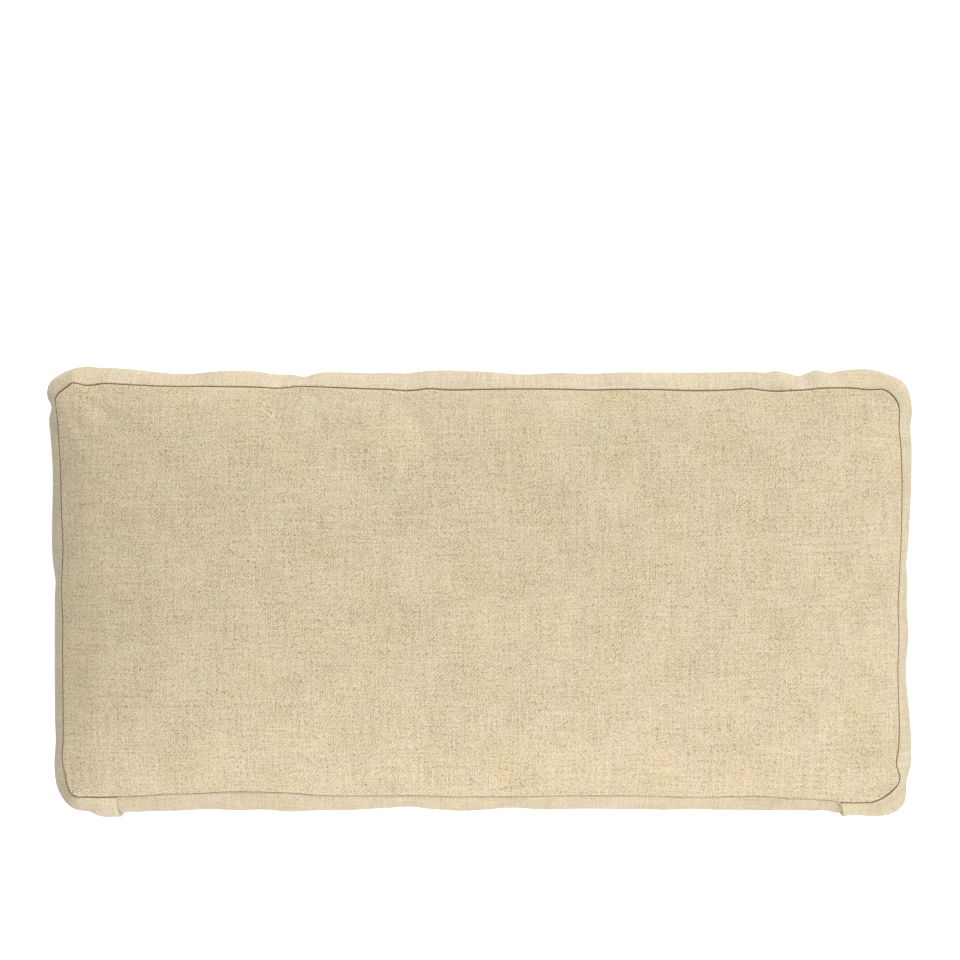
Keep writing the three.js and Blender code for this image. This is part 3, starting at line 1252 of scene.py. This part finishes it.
def crinkle_group() -> bpy.types.NodeTree:
    """Makes the short slanting dashes of crinkled yarn, once.

    Returns:
        The group. It puts out how high each dash stands, from 0 in the crease beside it to 1 on its
        back, and how light it is, from 0 to 1.
    """
    name = "crinkled yarn"
    turned_shift, patch_size, patch_from, patch_to = 37.0, 7.0, 0.92, 1.08
    if name in bpy.data.node_groups:
        return bpy.data.node_groups[name]
    tree = new_group(name, ("Length", "Width", "Slant", "Turned Share"), ("Height", "Tone"))
    nodes = Nodes(tree)
    given = nodes.tree.nodes.new("NodeGroupInput").outputs
    place = given["Place"]

    heights, tones = [], []
    for sign, shift in ((-1.0, 0.0), (1.0, turned_shift)):
        slanted = nodes.add("VectorRotate", Vector=place)
        slanted.rotation_type = "Z_AXIS"
        nodes.join(nodes.math("MULTIPLY", given["Slant"], sign), slanted.inputs["Angle"])
        parts = nodes.add("SeparateXYZ", Vector=slanted.outputs["Vector"]).outputs
        along = nodes.math("ADD", nodes.math("DIVIDE", parts["X"], given["Length"]), shift)
        cell = nodes.add("CombineXYZ", X=along, Y=nodes.math("DIVIDE", parts["Y"], given["Width"]))
        dash = nodes.add("TexVoronoi", Vector=cell.outputs["Vector"], Scale=1.0)
        dash.voronoi_dimensions = "2D"
        heights.append(nodes.math("SUBTRACT", 1.0, dash.outputs["Distance"]))
        tones.append(nodes.add("SeparateColor", Color=dash.outputs["Color"]).outputs["Red"])
    lean = nodes.math("ADD", nodes.noise(place, patch_size, 1.0), given["Turned Share"])
    turn = nodes.add("MapRange", Value=lean, From_Min=patch_from, From_Max=patch_to)
    turn = turn.outputs["Result"]
    height = nodes.add("Mix", Factor=turn, A=heights[0], B=heights[1]).outputs["Result"]
    tone = nodes.add("Mix", Factor=turn, A=tones[0], B=tones[1]).outputs["Result"]

    nodes.fill(nodes.tree.nodes.new("NodeGroupOutput"), {"Height": height, "Tone": tone})
    return tree


@dataclass(frozen=True)
class LinenFinish:
    """A slubbed linen. Its sizes on the cloth are in millimetres.

    A contrast is how much a part of the pattern changes how light the linen is. Noise runs from
    about -1 to 1. The weave's height and the dashes run from 0 to 1, less the level that is named
    for them.
    """

    name: str
    middle: tuple[float, float, float]

    # The threads, and the slanting dashes of their crinkled yarn
    warp_pitch: float = 1.6
    weft_pitch: float = 1.52
    wander: float = 3.2
    slub_length: float = 16.0
    dash_length: float = 2.2
    dash_width: float = 0.95
    dash_slant: float = math.radians(50)
    turned_share: float = 0.35
    bend: float = 0.6
    bend_size: float = 3.4
    pit_level: float = 0.62
    dash_level: float = 0.55

    # The sizes of what lies over the threads
    fibre_size: float = 0.6
    clump_size: float = 3.6
    calm_size: float = 13.0
    streak_size: tuple[float, float] = (1.5, 38.0)
    slub_size: tuple[float, float] = (2.4, 24.0)
    slub_from: float = 0.42
    mottle_size: float = 45.0

    # The contrasts, and how light the threads may be at most, with the ease into that
    weave_contrast: float = 0.08
    pit_contrast: float = 0.32
    dash_contrast: float = 0.56
    tone_contrast: float = 0.14
    thread_contrast: float = 0.14
    fibre_contrast: float = 0.53
    clump_contrast: float = 0.07
    streak_contrast: float = 0.17
    slub_contrast: float = 0.38
    mottle_contrast: float = 0.14
    ceiling: float = 1.25
    ceiling_ease: float = 0.3

    # How much of each channel goes with the patches, with light and dark, and with the painted shade
    # of seams, ends and corners
    hue_patch: float = 34.0
    hue_change: tuple[float, float] = (0.13, 0.18)
    dark_tint: tuple[float, float, float] = (0.9, 1.0, 1.25)
    painted_shade_depth: tuple[float, float, float] = (0.48, 0.56, 0.66)

    # The relief, as shares of its height, and the surface
    relief: float = 0.35 * MM
    weave_relief: float = 0.6
    fibre_relief: float = 0.18
    dash_relief: float = 1.2
    clump_relief: float = 0.1
    roughness: float = 0.92
    specular: float = 0.25
    fuzz: float = 0.25
    fuzz_roughness: float = 0.45

    def material(self) -> bpy.types.Material:
        """Mixes the linen.

        Returns:
            Its material, for pieces with the map of their cloth and the painted shade of their seams.
        """
        material = bpy.data.materials.new(self.name)
        material.use_nodes = True
        nodes = Nodes(material.node_tree)
        cloth = nodes.add("UVMap")
        cloth.uv_map = CLOTH_MAP
        place = nodes.scaled(cloth.outputs["UV"], 1 / MM)
        threads = self.threads(nodes, place)

        shader = material.node_tree.nodes["Principled BSDF"]
        nodes.join(self.colour(nodes, place, self.light(nodes, place, threads)),
                   shader.inputs["Base Color"])
        nodes.join(self.bumps(nodes, threads), shader.inputs["Normal"])
        shader.inputs["Roughness"].default_value = self.roughness
        shader.inputs["Specular IOR Level"].default_value = self.specular
        shader.inputs["Sheen Weight"].default_value = self.fuzz
        shader.inputs["Sheen Roughness"].default_value = self.fuzz_roughness
        return material

    def threads(self, nodes: Nodes, place: bpy.types.NodeSocket) -> dict[str, bpy.types.NodeSocket]:
        """Works out the weave, its crinkled yarn and its fibres.

        Args:
            nodes: The material's nodes.
            place: The place on the cloth.

        Returns:
            The parts of the pattern that are in the threads, by their names.
        """
        weave = nodes.group(weave_group(), Place=place, Warp_Pitch=self.warp_pitch,
                            Weft_Pitch=self.weft_pitch, Wander=self.wander,
                            Slub_Length=self.slub_length)
        bent = nodes.vector_math("MULTIPLY_ADD", nodes.noise(place, self.bend_size, output="Color"),
                                 (self.bend, self.bend, 0.0), place)
        crinkle = nodes.group(crinkle_group(), Place=bent, Length=self.dash_length,
                              Width=self.dash_width, Slant=self.dash_slant,
                              Turned_Share=self.turned_share)
        calm = nodes.math("ADD", nodes.noise(place, self.calm_size, 1.0), 0.5)
        raised = nodes.math("SUBTRACT", crinkle["Height"], self.dash_level)
        return {
            "height": weave["Height"],
            "weave": nodes.math("MULTIPLY", weave["Over"], calm),
            "pit": nodes.math("SUBTRACT", weave["Height"], self.pit_level),
            "dash": nodes.math("MULTIPLY", raised, calm),
            "tone": nodes.math("SUBTRACT", crinkle["Tone"], 0.5),
            "thread": weave["Thread"],
            "fibre": nodes.uneven(place, self.fibre_size, 1.0),
            "clump": nodes.uneven(place, self.clump_size, 2.0),
        }

    def light(self, nodes: Nodes, place: bpy.types.NodeSocket,
              threads: dict[str, bpy.types.NodeSocket]) -> bpy.types.NodeSocket:
        """Works out how light the linen is.

        Args:
            nodes: The material's nodes.
            place: The place on the cloth.
            threads: The parts of the pattern that are in the threads.

        Returns:
            The lightness, about 1 in the middle.
        """
        streak = nodes.math("ADD", *self.both_ways(nodes, place, self.streak_size, (0.0, 0.0)))
        slub = 0.0
        for knot in self.both_ways(nodes, place, self.slub_size, (31.0, 17.0)):
            thick = nodes.math("MAXIMUM", nodes.math("SUBTRACT", knot, self.slub_from), 0.0)
            slub = nodes.math("ADD", slub, thick)
        mottle = nodes.uneven(place, self.mottle_size, 2.0)
        light = 1.0
        for part, contrast in ((threads["weave"], self.weave_contrast),
                               (threads["pit"], self.pit_contrast),
                               (threads["dash"], self.dash_contrast),
                               (threads["tone"], self.tone_contrast),
                               (threads["thread"], self.thread_contrast),
                               (threads["fibre"], self.fibre_contrast),
                               (threads["clump"], self.clump_contrast),
                               (streak, self.streak_contrast), (slub, -self.slub_contrast),
                               (mottle, self.mottle_contrast)):
            light = nodes.math("MULTIPLY_ADD", part, contrast, light)
        return nodes.math("SMOOTH_MIN", light, self.ceiling, self.ceiling_ease)

    def both_ways(self, nodes: Nodes, place: bpy.types.NodeSocket, size: tuple[float, float],
                  shift: tuple[float, float]) -> list[bpy.types.NodeSocket]:
        """Draws noise out into streaks along the warp, and again along the weft.

        Args:
            nodes: The material's nodes.
            place: The place on the cloth.
            size: A streak's width and length.
            shift: How many streaks along the pattern starts, both ways.

        Returns:
            The two noises.
        """
        streaks = []
        for shape in ((*size, 1.0), (*size[::-1], 1.0)):
            at = nodes.vector_math("ADD", nodes.vector_math("DIVIDE", place, shape), (*shift, 0.0))
            streaks.append(nodes.uneven(at, 1.0, 1.0))
        return streaks

    def colour(self, nodes: Nodes, place: bpy.types.NodeSocket,
               light: bpy.types.NodeSocket) -> bpy.types.NodeSocket:
        """Works out the linen's colour.

        Args:
            nodes: The material's nodes.
            place: The place on the cloth.
            light: How light the linen is there.

        Returns:
            The colour, darkened by the painted shade of the seams, the joint ends, the base strip and
            some corners.
        """
        plain = (1.0, 1.0, 1.0)
        red, blue = self.hue_change
        hue = nodes.vector_math("MULTIPLY_ADD", nodes.noise(place, self.hue_patch, 2.0, "Color"),
                                (red, 0.0, blue), (1 - red / 2, 1.0, 1 - blue / 2))
        lighter = nodes.math("SUBTRACT", light, 1.0)
        tinted = nodes.vector_math("MULTIPLY_ADD", lighter, self.dark_tint, plain)
        # Painted shade from the piece's attribute darkens the colour, most in blue
        hidden = nodes.add("Attribute")
        hidden.attribute_name = PAINTED_SHADE
        shade = nodes.vector_math("MULTIPLY_ADD", hidden.outputs["Color"],
                                  tuple(-depth for depth in self.painted_shade_depth), plain)
        colour = nodes.vector_math("MULTIPLY", hue, self.middle)
        for part in (tinted, shade):
            colour = nodes.vector_math("MULTIPLY", colour, part)
        return colour

    def bumps(self, nodes: Nodes, threads: dict[str, bpy.types.NodeSocket]) -> bpy.types.NodeSocket:
        """Works out the relief of the threads.

        Args:
            nodes: The material's nodes.
            threads: The parts of the pattern that are in the threads.

        Returns:
            The direction that the raised surface faces.
        """
        height = nodes.math("MULTIPLY", threads["height"], self.weave_relief)
        for part, share in (("fibre", self.fibre_relief), ("dash", self.dash_relief),
                            ("clump", self.clump_relief)):
            height = nodes.math("MULTIPLY_ADD", threads[part], share, height)
        bump = nodes.add("Bump", Height=height, Distance=self.relief, Strength=1.0)
        return bump.outputs["Normal"]


@dataclass
class Panel:
    """A crowned face of the pillow, with its edge turned into the seam all round.

    On the base side the seam's painted shade fades by one share along the base strip, and by another
    past the joint seams.
    """

    name: str
    face: Face
    form: Form
    filling: Filling
    columns: int = 224
    rows: int = 101
    thickness: float = 1.2 * MM
    ripples_from: float = 12 * MM
    base_fades: float = 0.85
    corner_fades: float = 0.5
    edge: SeamEdge = SeamEdge()

    def build(self) -> bpy.types.Object:
        """Cuts the panel, gathers it onto the filled cover and gives it its thickness.

        Returns:
            The panel.
        """
        distances = np.array(EDGE_DISTANCES) * MM
        obj = add_cells(self.name, self.columns, self.rows)
        bpy.ops.mesh.region_to_loop()
        extrude_down(len(distances) - 1)
        bpy.ops.object.mode_set(mode="OBJECT")
        column, row, down = cell_corners(obj)
        station = boundary_station(column, row, self.columns, self.rows)

        along = np.linspace(0, 1, self.columns + 1)
        across = np.linspace(0, 1, self.rows + 1)
        grid = self.form.grid_points(self.face, along, across)
        grid += self.filling.on_grid(self.face, along, across)

        turn = boundary_turns(self.columns, self.rows)
        on_face = np.maximum(distances, 0)
        edge = self.form.edge_points(self.face, turn, on_face)
        edge += self.filling.on_edge(self.face, turn, on_face)
        to_panel, _, into = seam_frame(self.form, self.face, turn)
        edge = self.edge.shape(edge, distances, to_panel, into)

        points = edge[down, station]
        middle = down == 0
        points[middle] = grid[column[middle], row[middle]]
        if self.face is Face.FRONT:
            share = np.clip(distances[down] / self.ripples_from, 0, 1)
            points[:, 2] += share * sum(ripple.rise(points[:, :2]) for ripple in RIPPLES)
        else:
            points[:, 2] = self.form.crown.settled(points[:, 2])
        lay_points(obj, points)
        map_cloth(obj, self.flat_places(grid, edge, column, row, down, station))
        # Painted seam shade, fainter along the base side
        between = self.form.seam.at(turn).on_base
        faint = 1 - np.where(turn < 1, mix(self.corner_fades, self.base_fades, between), 0)
        paint_shade(obj, self.edge.shade(distances[down]) * faint[station])
        finish_cloth(obj, self.thickness, self.face is Face.BACK)
        return obj

    def flat_places(self, grid: np.ndarray, edge: np.ndarray, column: np.ndarray, row: np.ndarray,
                    down: np.ndarray, station: np.ndarray) -> np.ndarray:
        """Works out where each vertex lies on the flat cut, with the threads along X and Y.

        Args:
            grid: The points of the panel's middle.
            edge: The points of its edge, row by row from the middle out.
            column: Each vertex's column in the middle.
            row: Its row there.
            down: Its row in the edge, or 0 in the middle.
            station: Its place round the edge.

        Returns:
            A flat place for each vertex.
        """
        centre = self.columns // 2, self.rows // 2
        spine = self.spread(grid[:, centre[1]], centre[0], grid[centre][:2])
        across = self.spread(grid[centre[0]], centre[1], grid[centre][:2])
        flat = np.zeros(grid.shape[:2] + (2,))
        along_rows = self.spread(grid, centre[0], across)
        along_columns = self.spread(grid.swapaxes(0, 1), centre[1], spine).swapaxes(0, 1)
        flat[..., 0], flat[..., 1] = along_rows[..., 0], along_columns[..., 1]
        rim = np.zeros((edge.shape[1], 2))
        middle = down == 0
        rim[station[middle]] = flat[column[middle], row[middle]]
        on_edge = middle & ((column % self.columns == 0) | (row % self.rows == 0))
        rim[station[on_edge]] = flat[column[on_edge], row[on_edge]]
        rows = unrolled(edge, rim)
        places = rows[down, station]
        places[middle] = flat[column[middle], row[middle]]
        return places

    @staticmethod
    def spread(points: np.ndarray, middle: int, start: np.ndarray) -> np.ndarray:
        """Lays lines of points flat both ways from their middle.

        Args:
            points: The points of the lines, one row for each step.
            middle: The row that lies in their middle.
            start: Where that row lies on the flat cloth.

        Returns:
            Where all of them lie on the flat cloth.
        """
        after = unrolled(points[middle:], start)
        before = unrolled(points[middle::-1], start)
        return np.concatenate([before[:0:-1], after])


def map_picture(obj: bpy.types.Object, shown: int, stretches: int) -> None:
    """Adds the map of a piece's own picture, filled by the faces that can be seen.

    Args:
        obj: The piece, with the map of its cloth.
        shown: How many of its faces can be seen. They come first.
        stretches: How many stretches a long piece is cut into, laid one above the other.
    """
    side_margin, end_margin = 0.01, 0.02
    shown_height, hidden_from, hidden_size = 0.95, 0.96, (0.3, 0.035)
    mesh = obj.data
    cloth = np.zeros(len(mesh.loops) * 2, np.float32)
    mesh.uv_layers[CLOTH_MAP].uv.foreach_get("vector", cloth)
    cloth = cloth.reshape(-1, 2)
    share = (cloth - cloth.min(axis=0)) / np.ptp(cloth, axis=0)
    corners = np.zeros(len(mesh.polygons), np.int32)
    mesh.polygons.foreach_get("loop_total", corners)
    face = np.repeat(np.arange(len(corners)), corners)
    middle = np.bincount(face, share[:, 0]) / corners
    stretch = np.minimum((middle * stretches).astype(int), stretches - 1)[face]
    across = mix(side_margin, 1 - side_margin, share[:, 0] * stretches - stretch)
    up = (stretch + mix(end_margin, 1 - end_margin, share[:, 1])) / stretches
    places = np.stack([across, shown_height * up], axis=-1)
    hidden = face >= shown
    places[hidden] = np.array([0.0, hidden_from]) + places[hidden] * hidden_size
    layer = mesh.uv_layers.new(name=BAKE_MAP)
    layer.uv.foreach_set("vector", places.astype(np.float32).ravel())


def finish_cloth(obj: bpy.types.Object, thickness: float, flipped: bool,
                 stretches: int = 1) -> None:
    """Turns a laid piece's faces outward, gives it its thickness on the inside, and maps it.

    Args:
        obj: The piece, with the map of its cloth.
        thickness: The thickness of the cloth.
        flipped: Whether its faces still point into the pillow.
        stretches: How many stretches its own picture is cut into.
    """
    shown = len(obj.data.polygons)
    if flipped:
        bpy.ops.object.mode_set(mode="EDIT")
        bpy.ops.mesh.select_all(action="SELECT")
        bpy.ops.mesh.flip_normals()
        bpy.ops.object.mode_set(mode="OBJECT")
    bpy.ops.object.modifier_add(type="SOLIDIFY")
    solidify = obj.modifiers[-1]
    solidify.thickness = thickness
    solidify.offset = -1
    bpy.ops.object.modifier_apply(modifier=solidify.name)
    bpy.ops.object.shade_smooth()
    map_picture(obj, shown, stretches)


@dataclass
class Strip:
    """A strip of cloth between the two seams, over a stretch of the seam line.

    Its ends are turned into the joint seams. Each joint leans along the strip at mid-height by its
    bow, and the strip may be set in all along, with a dip at its ends. It may take a painted shade
    all over, and a deeper painted shade at its seams and ends and beside some corners.
    """

    name: str
    form: Form
    filling: Filling
    start: float
    end: float
    cut_length: float
    bows: tuple[float, float]
    set_in: float = 0.0
    dips: tuple[float, float] = (0.0, 0.0)
    shade: float = 0.0
    seam_shade: float = 1.0
    end_shades: tuple[float, float] = (0.0, 0.0)
    end_reach: float = 4 * MM
    dip_reach: float = 12 * MM
    bow_reach: float = 60 * MM
    cut_height: float = 76 * MM
    half_height: float = 37 * MM
    pitch: float = 2.5 * MM
    spare_turn: float = 0.1
    spare_columns: int = 8
    fine_steps: int = 6000
    edge_reach: float = 7 * MM
    middle_rows: int = 22
    picture_stretch: float = 90 * MM
    thickness: float = 1.2 * MM
    edge: SeamEdge = SeamEdge()
    joint_edge: SeamEdge = SeamEdge(roll=0.6 * MM, gap=0.06 * MM)

    def stations(self) -> tuple[np.ndarray, np.ndarray, float]:
        """Works out evenly spaced places along the strip, and a few past each end.

        Returns:
            The places on the seam line, their distances from the strip's start, and its length.
        """
        fine = np.linspace(self.start - self.spare_turn, self.end + self.spare_turn,
                           self.fine_steps + 1)
        points = self.form.seam.at(fine).point
        run = np.concatenate([[0], np.cumsum(np.linalg.norm(np.diff(points, axis=0), axis=1))])
        first, last = np.interp([self.start, self.end], fine, run)
        count = round((last - first) / self.pitch)
        steps = np.arange(-self.spare_columns, count + self.spare_columns + 1)
        at = steps * (last - first) / count
        return np.interp(first + at, run, fine), at, float(last - first)

    def build(self) -> bpy.types.Object:
        """Cuts the strip, lays it on the filled side and gives it its thickness.

        Returns:
            The strip.
        """
        near = np.array([d for d in EDGE_DISTANCES if d * MM <= self.edge_reach])[::-1] * MM
        level = 1 - np.maximum(near, 0) / self.half_height
        inner = np.linspace(level[-1], -level[-1], self.middle_rows)[1:-1]
        levels = np.concatenate([level, inner, -level[::-1]])
        from_front = np.concatenate([near, np.full(len(inner) + len(near), self.half_height)])
        points, from_start, length = self.laid(levels, from_front, near)

        obj = add_cells(self.name, len(from_start) - 1, len(levels) - 1)
        bpy.ops.object.mode_set(mode="OBJECT")
        column, row, _ = cell_corners(obj)
        lay_points(obj, points[row, column])
        step = np.linalg.norm(np.diff(points[len(levels) // 2], axis=0), axis=1)
        along = np.concatenate([[0], np.cumsum(step)])
        step = np.linalg.norm(np.diff(points, axis=0), axis=-1)
        across = np.concatenate([np.zeros((1, len(along))), np.cumsum(step, axis=0)])
        map_cloth(obj, np.stack([along[column], across[row, column]], axis=-1))

        # Painted shade at the seams and the joint ends, over the whole strip and beside some corners
        at_seams = self.seam_shade * self.edge.shade(np.minimum(from_front, from_front[::-1]))
        at_ends = sum(shade * np.exp(-((np.maximum(0, from_end) / self.end_reach) ** 2))
                      for shade, from_end in zip(self.end_shades, (from_start, length - from_start)))
        corner_shades = sum(corner_shade.shade(points[..., :2]) for corner_shade in PAINTED_CORNER_SHADES)
        shade = np.maximum(at_seams[row], at_ends[column]) + self.shade + corner_shades[row, column]
        paint_shade(obj, np.minimum(shade, 1))
        stretches = max(1, round(math.sqrt(length / self.picture_stretch)))
        finish_cloth(obj, self.thickness, True, stretches)
        return obj

    def laid(self, levels: np.ndarray, from_front: np.ndarray,
             near: np.ndarray) -> tuple[np.ndarray, np.ndarray, float]:
        """Lays the strip's rows and columns of points on the filled side.

        Args:
            levels: Where its rows lie, from 1 at the front seam to -1 at the back one.
            from_front: How far each row lies from the front seam, at most half the height.
            near: How far the columns near an end lie from it, below 0 where they are turned in.

        Returns:
            The points, each column's distance from the strip's start, and the strip's length.
        """
        turn, at, length = self.stations()
        set_in = self.set_in + sum(dip * np.exp(-((np.maximum(0, from_end) / self.dip_reach) ** 2))
                                   for dip, from_end in zip(self.dips, (at, length - at)))
        laid = self.form.strip_points(turn, levels, set_in) + self.filling.on_strip(turn, levels)
        for face, distance in ((Face.FRONT, from_front), (Face.BACK, from_front[::-1])):
            _, to_strip, into = seam_frame(self.form, face, turn)
            laid = self.edge.shape(laid, distance, to_strip, into)

        columns = round((length - 2 * near[-1]) / self.pitch)
        middle = np.linspace(near[-1], length - near[-1], columns + 1)[1:-1]
        from_start = np.concatenate([near, middle, length - near[::-1]])
        run = np.clip(from_start, 0, length)
        lean = sum(bow * np.clip(1 - from_end / self.bow_reach, 0, 1) ** 2
                   for bow, from_end in zip(self.bows, (run, length - run)))
        points = np.stack([
            read_between(row, (run + lean * (1 - level**2) - at[0]) / (at[1] - at[0]))
            for row, level in zip(laid, levels)
        ])
        for distance in (from_start, length - from_start):
            points = self.turned_end(points, distance)
        return points, from_start, length

    def turned_end(self, points: np.ndarray, distance: np.ndarray) -> np.ndarray:
        """Rolls the strip's columns into the joint seam at one end.

        Args:
            points: The strip's points, one row for each level.
            distance: Each column's distance from that end.

        Returns:
            The points with that end turned in.
        """
        columns = points.swapaxes(0, 1)
        end = int(np.argmin(np.abs(distance)))
        inside = int(np.argmin(np.abs(distance - BESIDE_SEAM)))
        away = unit(columns[inside] - columns[end])
        across = unit(np.gradient(columns[end], axis=0))
        down = unit(np.cross(away, across))
        middle = columns[end, len(down) // 2]
        down *= -np.sign(down[len(down) // 2] @ [middle[0], middle[1], 0])
        return self.joint_edge.shape(columns, distance, away, down).swapaxes(0, 1)


@dataclass(frozen=True)
class Lamp:
    """A square soft light that faces the pillow.

    Its brightness is the share of white that it alone gives to a white surface facing it.
    """

    name: str
    azimuth: float
    elevation: float
    distance: float
    size: float
    brightness: float

    def hang(self) -> None:
        """Hangs the light, out of the camera's sight."""
        turn, lift = math.radians(self.azimuth), math.radians(self.elevation)
        away = Vector((math.cos(turn) * math.cos(lift), math.sin(turn) * math.cos(lift),
                       math.sin(lift)))
        bpy.ops.object.light_add(type="AREA", location=away * self.distance)
        lamp = bpy.context.object
        lamp.name = self.name
        lamp.data.size = self.size
        lamp.data.energy = self.brightness * math.pi**2 * self.distance**2
        lamp.rotation_euler = away.to_track_quat("Z", "Y").to_euler()
        lamp.visible_camera = False


@dataclass(frozen=True)
class Studio:
    """The pale floor, the soft lights and the camera over the pillow's face."""

    face_height: float
    distance: float = 1600 * MM
    aim: tuple[float, float] = (0.937 * MM, 82.81 * MM)
    lens: float = 82.64
    sensor: float = 36
    sight: float = 50
    floor_size: float = 40
    floor_gap: float = 0.3 * MM
    floor_colour: tuple[float, float, float, float] = (0.8, 0.8, 0.8, 1)
    floor_roughness: float = 0.9
    floor_glow: float = 0.55
    room: float = 0.585
    lamps: tuple[Lamp, ...] = (
        Lamp("key", 0, 32, 3.0, 1.4, 0.47),
        Lamp("near base", -88, 39, 1.2, 0.5, 0.55),
        Lamp("head rim", 90, 12, 3.0, 1.4, 0.66),
        Lamp("left rim", 180, 6, 3.0, 1.4, 0.07),
    )

    def build(self) -> None:
        """Sets up the whole studio."""
        self.camera()
        self.floor()
        self.light_room()
        for lamp in self.lamps:
            lamp.hang()
        bpy.context.scene.view_settings.view_transform = "Standard"

    def camera(self) -> None:
        """Hangs the camera straight above the pillow, looking down at its face."""
        bpy.ops.object.camera_add(location=(*self.aim, self.face_height + self.distance))
        camera = bpy.context.object
        camera.rotation_euler = (0, 0, 0)
        camera.data.lens = self.lens
        camera.data.sensor_width = self.sensor
        camera.data.clip_end = self.sight
        bpy.context.scene.camera = camera

    def floor(self) -> None:
        """Lays the pale floor, lit from below to the camera's eye alone."""
        bpy.ops.mesh.primitive_plane_add(size=self.floor_size, location=(0, 0, -self.floor_gap))
        floor = bpy.context.object
        floor.name = "floor"
        material = bpy.data.materials.new("pale floor")
        material.use_nodes = True
        nodes = Nodes(material.node_tree)
        shader = material.node_tree.nodes["Principled BSDF"]
        shader.inputs["Base Color"].default_value = self.floor_colour
        shader.inputs["Roughness"].default_value = self.floor_roughness
        shader.inputs["Emission Color"].default_value = (1, 1, 1, 1)
        seen = nodes.add("LightPath").outputs["Is Camera Ray"]
        glow = nodes.math("MULTIPLY", seen, self.floor_glow)
        nodes.join(glow, shader.inputs["Emission Strength"])
        floor.data.materials.append(material)

    def light_room(self) -> None:
        """Lights the pale room evenly."""
        world = bpy.data.worlds.new("studio")
        world.use_nodes = True
        background = world.node_tree.nodes["Background"]
        background.inputs["Color"].default_value = (1, 1, 1, 1)
        background.inputs["Strength"].default_value = self.room
        bpy.context.scene.world = world


def main() -> None:
    """Builds the pillow and its studio."""
    logging.basicConfig(level=logging.INFO, format="%(message)s")
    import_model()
    low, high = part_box("boxing_strip")
    seam = SeamLine(front=high.z, back=low.z)
    form = Form(seam, Crown())
    filling = Filling(form)
    filling.run()

    panel_linen = LinenFinish("panel linen", (0.60, 0.50, 0.335)).material()
    # The strips' linen is the panels' cloth a little lighter and greyer, painted light for the sheen
    # on their grazing sides, with a calmer pattern
    strip_linen = LinenFinish("strip linen", (0.62, 0.525, 0.37), dash_contrast=0.34,
                              tone_contrast=0.1, pit_contrast=0.22, fibre_contrast=0.34,
                              slub_contrast=0.2, fuzz=0.14).material()
    first, last = seam.joints()
    pieces = (
        (Panel("front_panel", Face.FRONT, form, filling), "cushion", "panel_linen", panel_linen),
        (Panel("back_panel", Face.BACK, form, filling), "cushion", "panel_linen", panel_linen),
        (Strip("boxing", form, filling, last, 4 + first, 1330 * MM, JOINT_BOWS[::-1]),
         "boxing_strip", "strip_linen", strip_linen),
        # The base strip takes a painted shade all over, a fainter painted seam shade, and painted
        # shade at its joint ends
        (Strip("base", form, filling, first, last, 523 * MM, JOINT_BOWS, form.base_set_in,
               (0.0, 1.6 * MM), shade=0.2, seam_shade=0.12, end_shades=(0.04, 0.35)),
         "base_strip", "strip_linen", strip_linen),
    )
    for piece, node, slot, material in pieces:
        obj = piece.build()
        obj.data.materials.append(material)
        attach(obj, BODY)
        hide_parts(node)
        log.info("%s: %d faces", obj.name, len(obj.data.polygons))
    Studio(seam.front).build()


if __name__ == "__main__":
    main()
